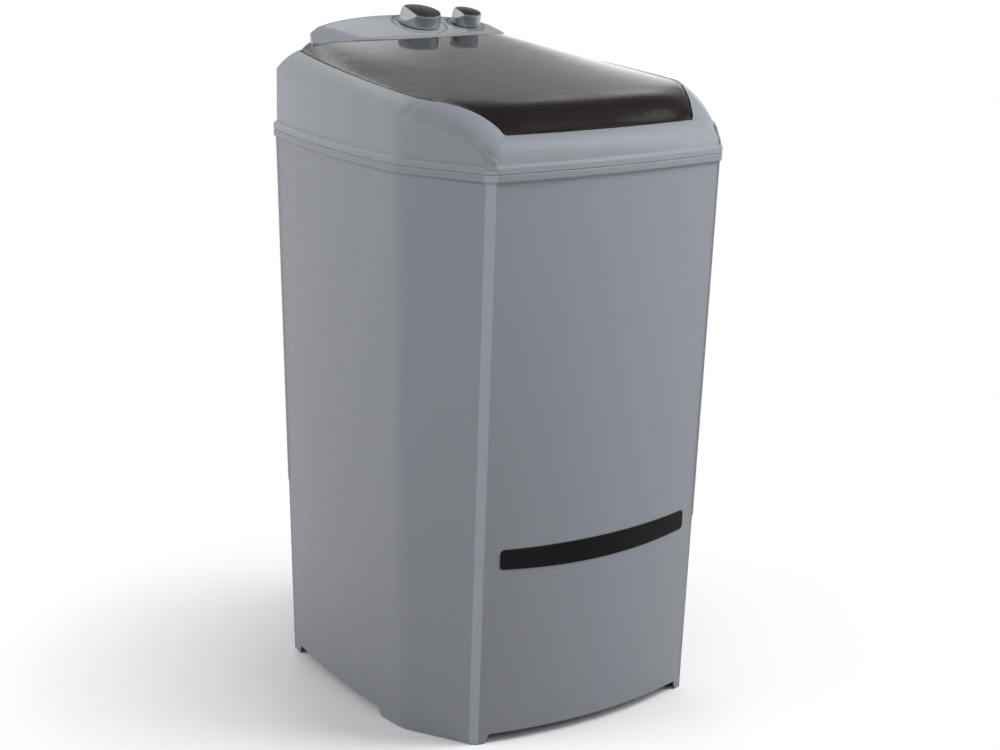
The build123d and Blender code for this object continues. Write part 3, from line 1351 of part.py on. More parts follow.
def motor_bracket():
    u0, u1 = BOSS_U[0] - 11, BOSS_U[1] + 11
    plate = box_between((u0, -BOSS_V - 11, BRACKET_Z), (u1, BOSS_V + 11, BRACKET_Z + BRACKET_T))
    plate = fillet(plate.edges().filter_by(Axis.Z), 10)
    plate += cyl(MOTOR_R + 2, BRACKET_Z, BRACKET_Z + BRACKET_T, MOTOR_REACH, 0)
    for s in (-1, 1):
        lo, hi = sorted((s * (BOSS_V + 11), s * (BOSS_V + 11 - BRACKET_T)))
        plate += box_between((u0 + 10, lo, BRACKET_Z - 12), (u1 - 10, hi, BRACKET_Z + 1))
    plate -= cyl(22, 0, 2 * BRACKET_Z, MOTOR_REACH, 0)
    for u, v in boss_places() + ear_places():
        plate -= cyl(SCREW_R, 0, 2 * BRACKET_Z, u, v)
    return bracket_frame() * plate


def motor_bolts():
    low = [screw(u, v, BRACKET_Z, 16, True, PILOT_R) for u, v in boss_places()]
    high = [screw(u, v, BRACKET_Z + BRACKET_T, 12, False, PILOT_R) for u, v in ear_places()]
    return group([bracket_frame() * s for s in low + high])


def motor_stator():
    """Stack of laminations with winding slots open to the bore."""
    body = tube(MOTOR_R, STATOR_BORE, *STATOR_Z)
    for i in range(STATOR_SLOTS):
        turn = Rot(0, 0, i * 360 / STATOR_SLOTS)
        low, high = STATOR_Z
        slot = box_between((STATOR_BORE - 2, -2.5, low - 1), (STATOR_BORE + 13, 2.5, high + 1))
        body -= turn * slot
    return Pos(*MOTOR_AT, 0) * body


def motor_coils():
    """Wound coil heads at both ends of the stack."""
    mid = (COIL_R[0] + COIL_R[1]) / 2
    rings = []
    for z, d in ((STATOR_Z[0], -1), (STATOR_Z[1], 1)):
        rings.append(turned([
            (COIL_R[0], z), (COIL_R[1], z), (COIL_R[1] - 1, z + d * COIL_H * 0.7), (mid, z + d * COIL_H),
            (COIL_R[0] + 1, z + d * COIL_H * 0.7)], *MOTOR_AT))
    return group(rings)


def end_shield(z_stack, d):
    """Cup on one end of the stack, with a bearing hub and vents."""
    z_out = z_stack + d * SHIELD_H
    hub_in = z_out - d * 9
    body = turned([
        (MOTOR_SHAFT_R + SHAFT_RUN, z_out), (MOTOR_R, z_out),
        (MOTOR_R, z_stack), (MOTOR_R - SHIELD_T, z_stack),
        (MOTOR_R - SHIELD_T, z_out - d * SHIELD_T), (13, z_out - d * SHIELD_T), (12, hub_in),
        (MOTOR_SHAFT_R + SHAFT_RUN, hub_in)])
    for i in range(6):
        turn = Rot(0, 0, i * 60 + MOTOR_ANGLE)
        body -= turn * Pos(34, 0, z_out) * Box(22, 8, 2.5 * SHIELD_T)
    if d > 0:
        for i in range(MOTOR_EARS):
            turn = Rot(0, 0, MOTOR_ANGLE + 45 + i * 360 / MOTOR_EARS)
            body += turn * cyl(5.0, z_stack, z_out, EAR_R, 0)
            body -= turn * cyl(PILOT_R, z_stack + 1, z_out + 1, EAR_R, 0)
    return Pos(*MOTOR_AT, 0) * body


def rotor_core():
    """Laminated rotor with cast end rings."""
    z0, z1 = STATOR_Z[0] + 2, STATOR_Z[1] - 2
    r = STATOR_BORE - AIR_GAP
    return turned([
        (MOTOR_SHAFT_R + 0.02, z0 + 4), (r - 9, z0 + 4), (r - 9, z0), (r, z0), (r, z1), (r - 9, z1),
        (r - 9, z1 - 4), (MOTOR_SHAFT_R + 0.02, z1 - 4)], *MOTOR_AT)


def motor_shaft():
    low = PULLEY_Z - PULLEY_W / 2 - 4
    high = STATOR_Z[1] + SHIELD_H - 2
    return turned([(0, low), (MOTOR_SHAFT_R - 1, low), (MOTOR_SHAFT_R, low + 1), (MOTOR_SHAFT_R, high),
                   (0, high)], *MOTOR_AT)


def motor_fan():
    z0, z1 = FAN_Z
    body = tube(MOTOR_SHAFT_R + 4, MOTOR_SHAFT_R + 0.02, z0, z1)
    body += tube(FAN_R, MOTOR_SHAFT_R + 1, z1 - 2, z1)
    for i in range(FAN_BLADES):
        turn = Rot(0, 0, i * 360 / FAN_BLADES)
        body += turn * box_between((MOTOR_SHAFT_R + 3, -0.9, z0), (FAN_R, 0.9, z1 - 1))
    return Pos(*MOTOR_AT, 0) * body


# Capacitor on the back wall


def clamp_back():
    """Back face of the clamp's foot, against the wall."""
    return wall_in(CAP_AT[0] + CLAMP_HALF, CAP_AT[1] - CLAMP_W / 2) - FIT


def cap_y():
    return clamp_back() - CAP_OFF - CAP_R


def capacitor():
    x, z = CAP_AT
    y = cap_y()
    body = turned([(0, z - CAP_H / 2), (CAP_R, z - CAP_H / 2), (CAP_R, z + CAP_H / 2 - 2),
                   (CAP_R - 2, z + CAP_H / 2), (0, z + CAP_H / 2)], x, y)
    for s in (-1, 1):
        tab_x, tab_z = x + s * CAP_TAB[0], z + CAP_H / 2
        half = CAP_TAB[1]
        body += box_between((tab_x - half, y - 0.4, tab_z - 1), (tab_x + half, y + 0.4, tab_z + 9))
    return body


def capacitor_clamp():
    """Steel band round the can with a foot on the wall."""
    x, z = CAP_AT
    y = cap_y()
    back = clamp_back()
    z0, z1 = z - CLAMP_W / 2, z + CLAMP_W / 2
    body = tube(CAP_R + 1.5, CAP_R + 0.05, z0, z1, x, y)
    body += box_between((x - CLAMP_HALF, back - 2, z0), (x + CLAMP_HALF, back, z1))
    body += box_between((x - 6, y + CAP_R, z0), (x + 6, back - 1, z1))
    body -= cyl(CAP_R + 0.05, 0, 2 * z, x, y)
    return body


# Drain: outlet elbow, inner hose, clips and the spigot through the back wall


def seat_out():
    """Outer face of the spigot's seat."""
    return back_wall_y(*SPIGOT_AT) + BOSS_OUT


def seat_in():
    return back_wall_y(*SPIGOT_AT) - BOSS_IN


def drain_outlet():
    """Flanged nipple under the tub's outlet."""
    top = TUB_FLOOR - TUB_T - 3
    return turned([
        (NIPPLE_BORE, top), (HOSE_R + 4, top), (HOSE_R + 4, top - 3), (NIPPLE_R, top - 3),
        (NIPPLE_R, top - 3 - NIPPLE_LEN), (NIPPLE_R - 1, top - 4 - NIPPLE_LEN),
        (NIPPLE_BORE, top - 4 - NIPPLE_LEN)],
        *OUTLET_AT)


def drain_spigot():
    """Spigot through the wall: nipple for the inner hose, flange and outer stub."""
    y0 = seat_in()
    profile = make_face(Polyline(
        (NIPPLE_BORE, -NIPPLE_LEN), (NIPPLE_R, -NIPPLE_LEN), (NIPPLE_R, -4), (SPIGOT_FLANGE_R, -4),
        (SPIGOT_FLANGE_R, 0), (SPIGOT_NECK_R, 0), (SPIGOT_NECK_R, seat_out() - y0),
        (SPIGOT_R, seat_out() - y0), (SPIGOT_R, seat_out() - y0 + SPIGOT_OUT),
        (SPIGOT_BORE_R, seat_out() - y0 + SPIGOT_OUT), (SPIGOT_BORE_R, 4), (NIPPLE_BORE, -2), close=True))
    body = revolve(Plane.XZ * profile, Axis.Z)
    return Pos(SPIGOT_AT[0], y0, SPIGOT_AT[1]) * Rot(-90, 0, 0) * body


def hose_path():
    x = SPIGOT_AT[0]
    top = TUB_FLOOR - TUB_T - 6
    end = seat_in() - 4
    return FilletPolyline((x, OUTLET_AT[1], top), (x, OUTLET_AT[1], SPIGOT_AT[1]), (x, end, SPIGOT_AT[1]),
                          radius=HOSE_BEND)


def drain_hose():
    path = hose_path()
    start = Plane(origin=path @ 0, z_dir=path % 0)
    body = sweep(start * Circle(HOSE_R), path) - sweep(start * Circle(HOSE_BORE_R), path)
    return body


def hose_clips():
    """Clips at both ends of the inner hose."""
    x = SPIGOT_AT[0]
    top = TUB_FLOOR - TUB_T - 6 - 6
    ring = tube(HOSE_R + HOSE_CLIP_T, HOSE_R + 0.03, -HOSE_CLIP_W, 0)
    ring += box_between((HOSE_R, -4, -HOSE_CLIP_W), (HOSE_R + 7, -2.4, 0))
    ring += box_between((HOSE_R, 2.4, -HOSE_CLIP_W), (HOSE_R + 7, 4, 0))
    ring -= cyl(HOSE_R + 0.03, -2 * HOSE_CLIP_W, HOSE_CLIP_W)
    high = Pos(x, OUTLET_AT[1], top) * Rot(0, 0, 90) * ring
    low = Pos(x, seat_in() - 4 - 6, SPIGOT_AT[1]) * Rot(-90, 0, 0) * Rot(0, 0, 90) * ring
    return group([high, low])


# Power entry and wiring


def cord_gland():
    """Gland for the power cord: collar outside, nut inside."""
    y0 = back_wall_y(*GLAND_AT) - BOSS_IN
    y1 = back_wall_y(*GLAND_AT) + BOSS_OUT
    profile = make_face(Polyline(
        (CORD_BORE, -7), (GLAND_R + 3, -7), (GLAND_R + 3, 0), (GLAND_R, 0), (GLAND_R, y1 - y0),
        (GLAND_R + 3.5, y1 - y0), (GLAND_R + 2.5, y1 - y0 + 4), (CORD_BORE + 3, y1 - y0 + 9),
        (CORD_BORE, y1 - y0 + 9), close=True))
    body = revolve(Plane.XZ * profile, Axis.Z)
    return Pos(GLAND_AT[0], y0, GLAND_AT[1]) * Rot(-90, 0, 0) * body


def cable(points, r, radius):
    path = FilletPolyline(*points, radius=radius)
    return sweep(Plane(origin=path @ 0, z_dir=path % 0) * Circle(r), path)


def clip_back(z):
    """Back face of the cable clips, against the wall."""
    return wall_in(GLAND_AT[0] + CABLE_STEP + 6, z - 7) - FIT


def cable_y(z):
    return clip_back(z) - CLIP_DEEP / 2


def supply_cable():
    """From the gland up the back wall to the terminal block in the console."""
    x = GLAND_AT[0]
    y0 = back_wall_y(*GLAND_AT) - BOSS_IN - 7
    low, high = CLIP_Z[0], CLIP_Z[-1]
    points = [(x, y0, GLAND_AT[1]), (x, y0 - 40, GLAND_AT[1]), (x, cable_y(low - 60), low - 60),
              (x, cable_y(high + 30), high + 30), (x, WIRE_HOLE[1], 866), (x, WIRE_HOLE[1], BLOCK_Z)]
    return cable(points, CABLE_R, 24)


def motor_cable():
    """From the terminal block down the back wall and across to the motor."""
    x = GLAND_AT[0] + CABLE_STEP
    low, high = CLIP_Z[0], CLIP_Z[-1]
    side = MOTOR_AT[1] + MOTOR_R
    points = [(x, WIRE_HOLE[1], BLOCK_Z), (x, WIRE_HOLE[1], 866), (x, cable_y(high + 30), high + 30),
              (x, cable_y(low - 30), low - 30), (MOTOR_AT[0], side + 42, STATOR_Z[1] - 25),
              (MOTOR_AT[0], side + 0.6, STATOR_Z[1] - 30)]
    return cable(points, CABLE_R - 1, 24)


def cable_clips():
    """Saddles on the back wall that hold both cables."""
    clips = []
    for z in CLIP_Z:
        x0, x1 = GLAND_AT[0], GLAND_AT[0] + CABLE_STEP
        back = clip_back(z)
        y = back - CLIP_DEEP
        clip = box_between((x0 - 6, y, z - 6), (x1 + 5, back, z + 6))
        for x, r in ((x0, CABLE_R), (x1, CABLE_R - 1)):
            clip -= box_between((x - r - 0.1, y + 1.2, z - 7), (x + r + 0.1, back - 1.2, z + 7))
        clips.append(clip)
    return group(clips)


def terminal_block():
    w, d, h = BLOCK_SIZE
    x, y = GLAND_AT[0] + 6, WIRE_HOLE[1]
    body = box_between((x - w / 2, y - d / 2, BLOCK_Z), (x + w / 2, y + d / 2, BLOCK_Z + h))
    for i in range(4):
        body -= cyl(2.4, BLOCK_Z + h - 8, BLOCK_Z + h + 1, x - w / 2 + w * (i + 0.5) / 4, y)
    y_wall = console_back_y(x + w / 2) - CON_WALL - 0.3
    body += box_between((x - 6, y, BLOCK_Z + 4), (x + 6, y_wall, BLOCK_Z + h - 4))
    return body


# Every piece and its file

NODES = {
    "cabinet_shell": cabinet_shell,
    "front_trim_strip": front_trim,
    "foot_pads": foot_pads,
    "top_frame": top_frame,
    "tub_screws": tub_screws,
    "lid": lid_shell,
    "lid_cushions": lid_cushions,
    "console_housing": console_housing,
    "console_panel": console_panel,
    "console_screws": console_screws,
    "timer_case": lambda: switch_case(KNOB_A, TIMER_SIZE, 5),
    "selector_case": lambda: switch_case(KNOB_B, SWITCH_SIZE, 3),
    "case_nuts": case_nuts,
    "timer_knob": lambda: knob_cap(KNOB_A, KNOB_A_R, KNOB_A_H),
    "timer_knob_insert": lambda: knob_insert(KNOB_A, KNOB_A_R, KNOB_A_H),
    "timer_shaft": lambda: knob_shaft(KNOB_A, TIMER_SIZE, KNOB_A_H),
    "selector_knob": lambda: knob_cap(KNOB_B, KNOB_B_R, KNOB_B_H),
    "selector_knob_insert": lambda: knob_insert(KNOB_B, KNOB_B_R, KNOB_B_H),
    "selector_shaft": lambda: knob_shaft(KNOB_B, SWITCH_SIZE, KNOB_B_H),
    "tub": tub,
    "bearing_housing": bearing_housing,
    "housing_bolts": housing_bolts,
    "bearing_lower": lambda: bearing(BEARING_Z[0]),
    "bearing_upper": lambda: bearing(BEARING_Z[1]),
    "shaft_seal": shaft_seal,
    "drive_shaft": drive_shaft,
    "agitator": agitator,
    "agitator_screw": agitator_screw,
    "drive_pulley": drive_pulley,
    "pulley_nut": pulley_nut,
    "drive_belt": drive_belt,
    "motor_bracket": motor_bracket,
    "motor_bolts": motor_bolts,
    "motor_stator": motor_stator,
    "motor_coils": motor_coils,
    "motor_shield_upper": lambda: end_shield(STATOR_Z[1], 1),
    "motor_shield_lower": lambda: end_shield(STATOR_Z[0], -1),
    "rotor_core": rotor_core,
    "motor_shaft": motor_shaft,
    "motor_pulley": motor_pulley,
    "motor_fan": motor_fan,
    "capacitor": capacitor,
    "capacitor_clamp": capacitor_clamp,
    "drain_outlet": drain_outlet,
    "drain_hose": drain_hose,
    "hose_clips": hose_clips,
    "drain_spigot": drain_spigot,
    "cord_gland": cord_gland,
    "supply_cable": supply_cable,
    "motor_cable": motor_cable,
    "cable_clips": cable_clips,
    "terminal_block": terminal_block,
}

for name, build in NODES.items():
    save(build(), name)
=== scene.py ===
import json
import math

import bmesh
import bpy
from mathutils import Matrix, Vector


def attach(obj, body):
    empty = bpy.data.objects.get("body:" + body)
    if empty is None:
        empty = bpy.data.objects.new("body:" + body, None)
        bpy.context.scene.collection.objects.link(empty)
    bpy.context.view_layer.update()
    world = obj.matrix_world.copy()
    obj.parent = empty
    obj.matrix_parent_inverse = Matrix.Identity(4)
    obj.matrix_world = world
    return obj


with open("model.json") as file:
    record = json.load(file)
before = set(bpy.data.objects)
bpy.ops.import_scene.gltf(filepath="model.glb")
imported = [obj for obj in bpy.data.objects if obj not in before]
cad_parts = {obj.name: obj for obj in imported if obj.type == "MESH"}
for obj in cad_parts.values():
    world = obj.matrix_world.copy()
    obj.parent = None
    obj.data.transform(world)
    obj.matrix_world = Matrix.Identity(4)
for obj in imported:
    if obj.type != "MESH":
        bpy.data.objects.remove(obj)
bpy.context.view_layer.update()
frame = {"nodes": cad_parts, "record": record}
NODES = frame["nodes"]
JOINTS = {joint["name"]: joint for joint in frame["record"]["behaviour"]["joints"]}

# Camera, solved from the photograph, in metres and degrees
CAMERA_PLACE = Vector((-2.040, -2.683, 1.329))
CAMERA_AZIMUTH = -37.55
CAMERA_ELEVATION = 13.98
CAMERA_ROLL = 1.04
CAMERA_LENS = 79.03
SENSOR_WIDTH = 36.0

# Colours as the object shows them, from 0 to 255
CABINET_GREY = (140, 143, 150)
FRAME_GREY = (144, 148, 154)
CONSOLE_GREY = (144, 147, 153)
PANEL_GREY = (175, 180, 186)
KNOB_GREY = (150, 153, 157)
LID_SMOKE = (36, 32, 31)
PANEL_INK = (58, 80, 86)
BACKGROUND = 1.0                # strength that shows as white
FILL = 0.36                     # even light from all round
FILL_COLOUR = (0.95, 0.97, 1.0, 1)
BOUNCE = (0.38, 0.38, 0.38)     # floor colour that lights the object
FLOOR_SEEN = (0.93, 0.93, 0.93)
FLOOR_RADIUS = 9.0
FLOOR_FADE = (0.34, 0.80)       # the floor turns white between these distances
COLLAR_TOP = 0.869              # top of the frame's collar band, in metres

# Ranges over which a mask goes from 0 to 1
EDGE_TURN = (0.003, 0.06)       # how far a rounded normal turns from the flat one
CORNER_FACING = (0.90, 0.99)    # how squarely a face looks out along a corner
CORNER_UPRIGHT = (0.25, 0.6)    # how upright it stands

# Printed marks, in metres and degrees
PANEL_RISE = 0.0003        # panel's face above the knobs' joint places
INK_LOW, INK_TOP = -0.00003, 0.00009
TIMER_RING, SELECTOR_RING = 0.045, 0.031
RING_LINE, TICK_LINE = 0.0016, 0.0010
TICK_SHORT, TICK_LONG = 0.0018, 0.0036
TIMER_SWEEP = (-150, 150)
TIMER_STEPS = 15
SELECTOR_SWEEP = (-60, 60)
ARC_STEP = 4

LAMPS = (
    ("left_softbox", (-3.2, 1.0, 2.0), (0, 0, 0.6), (1.6, 2.0), 54),
    ("front_softbox", (-2.4, -3.2, 2.2), (0, 0, 0.6), (1.6, 1.6), 15),
    ("right_softbox", (3.2, -2.2, 2.1), (0, 0, 0.6), (1.6, 2.0), 66),
    ("near_softbox", (1.1, -1.2, 2.4), (0.1, -0.3, 0.8), (1.0, 1.0), 33),
    ("back_softbox", (1.6, 3.6, 2.2), (0, 0, 0.5), (1.6, 1.8), 34),
)

# Grey steps of what reflections show, as (place, strength): over a ray's rise, and over a card's height
WORLD_STOPS = ((0.02, 0.75), (0.30, 0.42), (0.50, 0.16), (0.75, 0.05))
CARD_TOP = 3.0
BACK_STOPS = ((0.24, 0.95), (0.38, 1.75), (0.44, 1.35), (0.49, 0.80),
              (0.53, 0.50), (0.57, 0.44), (0.69, 0.20), (0.85, 0.13))
BACK_VALLEY = (1.15, 1.30)     # between these the card darkens lowest down
BACK_LEANS = (0.80, 0.32)      # how fast it rises to either side
SIDE_STOPS = ((0.0, 1.1), (1.0, 1.1))
BACK_CARD = ((-1.6, 1.6, 0.0), (4.0, 1.6, 0.0), (4.0, 1.6, 3.0), (-1.6, 1.6, 3.0))
SIDE_CARD = ((3.0, -1.4, 0.9), (3.0, -3.0, 0.9), (3.0, -3.0, 2.4), (3.0, -1.4, 2.4))


def linear(colour):
    """Scene-linear RGB of a screen colour given from 0 to 255."""
    out = []
    for c in colour:
        c = c / 255
        out.append(c / 12.92 if c <= 0.04045 else ((c + 0.055) / 1.055) ** 2.4)
    return tuple(out)


# Shader building

class Shader:
    """A material with a Principled BSDF and short calls that add nodes to it."""

    def __init__(self, name):
        self.material = bpy.data.materials.new(name)
        self.material.use_nodes = True
        self.tree = self.material.node_tree
        self.surface = self.tree.nodes["Principled BSDF"]
        self.place = self.add("ShaderNodeTexCoord").outputs["Object"]

    def add(self, kind, **settings):
        node = self.tree.nodes.new(kind)
        for name, value in settings.items():
            setattr(node, name, value)
        return node

    def feed(self, socket, value):
        """Set a socket, or link it if the value is another node's output."""
        if isinstance(value, bpy.types.NodeSocket):
            self.tree.links.new(value, socket)
        elif isinstance(value, tuple) and len(value) == 3 and socket.type == "RGBA":
            socket.default_value = (*value, 1.0)
        else:
            socket.default_value = value

    def put(self, node, name, value):
        self.feed(node.inputs[name], value)

    def set(self, **sockets):
        for name, value in sockets.items():
            self.put(self.surface, name.replace("_", " "), value)
        return self

    def stretched(self, x, y, z):
        """Object place scaled along each axis, for grain with a direction."""
        node = self.add("ShaderNodeMapping")
        self.put(node, "Vector", self.place)
        node.inputs["Scale"].default_value = (x, y, z)
        return node.outputs["Vector"]

    def noise(self, scale, detail=2.0, rough=0.5, where=None):
        node = self.add("ShaderNodeTexNoise")
        self.put(node, "Vector", where or self.place)
        self.put(node, "Scale", scale)
        self.put(node, "Detail", detail)
        self.put(node, "Roughness", rough)
        return node.outputs["Fac"]

    def speckle(self, scale):
        node = self.add("ShaderNodeTexVoronoi")
        self.put(node, "Vector", self.place)
        self.put(node, "Scale", scale)
        return node.outputs["Distance"]

    def bands(self, scale, direction, distortion=0.0):
        node = self.add("ShaderNodeTexWave", wave_type="BANDS", bands_direction=direction)
        self.put(node, "Vector", self.place)
        self.put(node, "Scale", scale)
        self.put(node, "Distortion", distortion)
        return node.outputs["Fac"]

    def span(self, value, low, high, start=0.3, end=0.7):
        """Map a pattern's middle range onto a range of values."""
        node = self.add("ShaderNodeMapRange")
        self.put(node, "Value", value)
        self.put(node, "From Min", start)
        self.put(node, "From Max", end)
        self.put(node, "To Min", low)
        self.put(node, "To Max", high)
        return node.outputs["Result"]

    def math(self, operation, a, b):
        node = self.add("ShaderNodeMath", operation=operation)
        for socket, value in zip(node.inputs, (a, b)):
            self.feed(socket, value)
        return node.outputs["Value"]

    def over(self, share, below, above):
        """One colour over another, by a share from 0 to 1."""
        node = self.add("ShaderNodeMix", data_type="RGBA")
        for i, value in ((0, share), (6, below), (7, above)):
            self.feed(node.inputs[i], value)
        return node.outputs[2]

    def height(self):
        part = self.add("ShaderNodeSeparateXYZ")
        self.put(part, "Vector", self.place)
        return part.outputs["Z"]

    def edges(self, radius):
        """1 along sharp edges, 0 on flat faces."""
        bevel = self.add("ShaderNodeBevel", samples=4)
        self.put(bevel, "Radius", radius)
        flat = self.add("ShaderNodeNewGeometry").outputs["Normal"]
        same = self.add("ShaderNodeVectorMath", operation="DOT_PRODUCT")
        self.put(same, 0, bevel.outputs["Normal"])
        self.put(same, 1, flat)
        low, high = EDGE_TURN
        return self.span(same.outputs["Value"], 0.0, 1.0, 1 - low, 1 - high)

    def corners(self):
        """1 on faces that look out along a corner of the plan, such as the corner strips."""
        out = self.add("ShaderNodeSeparateXYZ")
        self.put(out, "Vector", self.add("ShaderNodeNewGeometry").outputs["Normal"])
        across = self.math("MULTIPLY", out.outputs["X"], out.outputs["Y"])
        across = self.math("MULTIPLY", self.math("ABSOLUTE", across, 0.0), 2.0)
        level = self.math("SUBTRACT", 1.0, self.math("POWER", out.outputs["Z"], 2.0))
        facing = self.span(self.math("DIVIDE", across, level), 0.0, 1.0, *CORNER_FACING)
        return self.math("MULTIPLY", facing, self.span(level, 0.0, 1.0, *CORNER_UPRIGHT))

    def relief(self, height, depth, strength=1.0, edge=0.0, under=None):
        """Bump of a height pattern, over rounded edges where edge is a radius."""
        bump = self.add("ShaderNodeBump")
        self.put(bump, "Strength", strength)
        self.put(bump, "Distance", depth)
        self.put(bump, "Height", height)
        if under is not None:
            self.put(bump, "Normal", under)
        elif edge:
            bevel = self.add("ShaderNodeBevel", samples=4)
            self.put(bevel, "Radius", edge)
            self.put(bump, "Normal", bevel.outputs["Normal"])
        return bump.outputs["Normal"]


def around(colour, spread):
    """A darker and a lighter neighbour of a colour."""
    return tuple(c * (1 - spread) for c in colour), tuple(min(c * (1 + spread), 1) for c in colour)


# Outer plastics

def moulded(name, colour, rough, grain, edge, coat=0.0):
    """Moulded plastic: flow mottling, fine pores, satin roughness and a painted highlight that lightens the
    edges.
    """
    s = Shader(name)
    flow = s.noise(2.2, 3, 0.55, s.stretched(1, 1, 0.35))
    streak = s.noise(14, 2, 0.5, s.stretched(1, 1, 0.06))
    tone = s.math("ADD", s.span(flow, 0, 0.6), s.span(streak, 0, 0.4))
    dark, light = around(colour, 0.028)
    pores = s.noise(1500, 3, 0.6)
    ripple = s.relief(streak, 0.0006, 0.10, edge)
    # Painted highlight: edges lightened, broken up by noise, to stand in for light caught on rounded edges.
    painted_edge_highlight = s.math("MULTIPLY", s.edges(edge * 1.8), s.span(s.noise(45, 3), 0.65, 1.0))
    s.set(
        Base_Color=s.over(painted_edge_highlight, s.over(tone, dark, light), tuple(c * 1.4 for c in colour)),
        Roughness=s.span(s.noise(60, 4, 0.6), rough - 0.04, rough + 0.05),
        Normal=s.relief(pores, grain, 0.35, under=ripple),
        Coat_Weight=coat,
    )
    s.set(Coat_Roughness=0.2)
    return s


def cabinet_plastic():
    """The cabinet: satin cool grey, a painted highlight on the corner strips, painted shade that darkens it
    towards the bottom, and scuffs near the floor.
    """
    colour = linear(CABINET_GREY)
    s = moulded("cabinet_plastic", colour, 0.42, 0.00006, 0.0012)
    height = s.height()
    low = s.span(height, 1.0, 0.0, 0.0, 0.10)
    scuff = s.math("MULTIPLY", low, s.span(s.noise(90, 5, 0.65), 0, 0.35, 0.5, 0.75))
    base = s.surface.inputs["Base Color"].links[0].from_socket
    # Painted highlight: faces that look out along a corner are lightened.
    base = s.over(s.corners(), base, tuple(c * 1.65 for c in colour))
    # Painted shade: the lower part is darkened, more so towards the floor.
    painted_low_shade = s.span(height, 0.16, 0.0, 0.0, 0.7)
    base = s.over(painted_low_shade, base, tuple(c * 0.45 for c in colour))
    s.set(Base_Color=s.over(scuff, base, tuple(c * 0.72 for c in colour)))
    return s.material


def frame_plastic():
    """Top frame: the same grey, with a painted highlight where its collar carries the corner strips on."""
    colour = linear(FRAME_GREY)
    s = moulded("frame_plastic", colour, 0.36, 0.00003, 0.0014, 0.10)
    collar = s.span(s.height(), 1.0, 0.0, COLLAR_TOP - 0.001, COLLAR_TOP + 0.001)
    base = s.surface.inputs["Base Color"].links[0].from_socket
    # Painted highlight: the collar's corner-facing faces are lightened.
    s.set(Base_Color=s.over(s.math("MULTIPLY", s.corners(), collar), base, tuple(c * 1.5 for c in colour)))
    return s.material


def console_plastic():
    return moulded("console_plastic", linear(CONSOLE_GREY), 0.34, 0.00002, 0.0012, 0.20).material


def panel_gloss():
    """Printed panel under a clear glossy film."""
    s = Shader("panel_gloss")
    dark, light = around(linear(PANEL_GREY), 0.03)
    cloud = s.noise(30, 3, 0.5)
    s.set(
        Base_Color=s.over(s.span(cloud, 0, 1), dark, light),
        Roughness=s.span(s.noise(120, 4, 0.6), 0.16, 0.24),
        Coat_Weight=1.0,
        Normal=s.relief(s.noise(260, 2), 0.00003, 0.2, 0.0004),
    )
    s.set(Coat_Roughness=0.04)
    return s.material


def lid_smoke():
    """Smoked glossy lid: deep brown-black, faint waviness and wiped dust."""
    s = Shader("lid_smoke")
    dark, light = around(linear(LID_SMOKE), 0.12)
    haze = s.noise(5, 4, 0.6, s.stretched(1, 0.4, 1))
    dust = s.span(s.noise(2200, 2), 0, 1, 0.66, 0.78)
    tone = s.over(s.span(haze, 0, 1), dark, light)
    s.set(
        Base_Color=s.over(s.math("MULTIPLY", dust, 0.06), tone, (0.5, 0.5, 0.5)),
        Roughness=s.span(haze, 0.05, 0.09),
        Normal=s.relief(s.noise(9, 2), 0.0004, 0.08, 0.009),
    )
    s.set(IOR=1.42)
    s.set(Specular_Tint=(1.0, 0.965, 0.96))
    return s.material


def trim_gloss():
    """Black gloss strip with a soft edge, lightened along it by a painted highlight."""
    s = Shader("trim_gloss")
    cloud = s.over(s.span(s.noise(8, 3), 0, 1), (0.008, 0.008, 0.009), (0.014, 0.014, 0.015))
    s.set(
        # Painted highlight: the edges are lightened.
        Base_Color=s.over(s.edges(0.0016), cloud, (0.055, 0.055, 0.055)),
        Roughness=s.span(s.noise(60, 4), 0.10, 0.17),
        Normal=s.relief(s.noise(40, 2), 0.0002, 0.08, 0.0016),
    )
    s.set(Specular_IOR_Level=0.05)
    return s.material


def knob_grey():
    """Metallic-lacquered knob, with a painted highlight along its edges."""
    s = Shader("knob_grey")
    dark, light = around(linear(KNOB_GREY), 0.05)
    flake = s.noise(2600, 2, 0.5)
    s.set(
        # Painted highlight: the edges are lightened.
        Base_Color=s.over(s.edges(0.0014), s.over(s.span(flake, 0, 1), dark, light),
                          tuple(min(c * 1.5, 1) for c in light)),
        Metallic=0.55,
        Roughness=s.span(s.noise(180, 3), 0.17, 0.24),
        Normal=s.relief(flake, 0.00001, 0.3, 0.0009),
        Coat_Weight=0.4,
    )
    s.set(Coat_Roughness=0.08)
    return s.material


def knob_insert():
    s = Shader("knob_insert")
    s.set(
        Base_Color=s.over(s.span(s.noise(90, 3), 0, 1), (0.012, 0.014, 0.015), (0.02, 0.023, 0.024)),
        Roughness=s.span(s.noise(200, 3), 0.06, 0.10),
        Normal=s.relief(s.noise(60, 2), 0.00005, 0.1, 0.0006),
    )
    return s.material


def panel_ink():
    """Screen-printed ink: thin, slightly uneven and satin."""
    s = Shader("panel_ink")
    dark, light = around(linear(PANEL_INK), 0.10)
    s.set(
        Base_Color=s.over(s.span(s.noise(260, 4, 0.6), 0, 1), dark, light),
        Roughness=s.span(s.noise(400, 3), 0.30, 0.42),
        Normal=s.relief(s.noise(1200, 3), 0.00002, 0.4),
    )
    return s.material


# Inner plastics, rubbers and metals

def plain_plastic(name, colour, rough, coat=0.0):
    s = Shader(name)
    dark, light = around(colour, 0.04)
    s.set(
        Base_Color=s.over(s.span(s.noise(4, 4, 0.6), 0, 1), dark, light),
        Roughness=s.span(s.noise(80, 4), rough - 0.05, rough + 0.05),
        Normal=s.relief(s.noise(700, 3), 0.00004, 0.3, 0.0009),
        Coat_Weight=coat,
    )
    return s.material


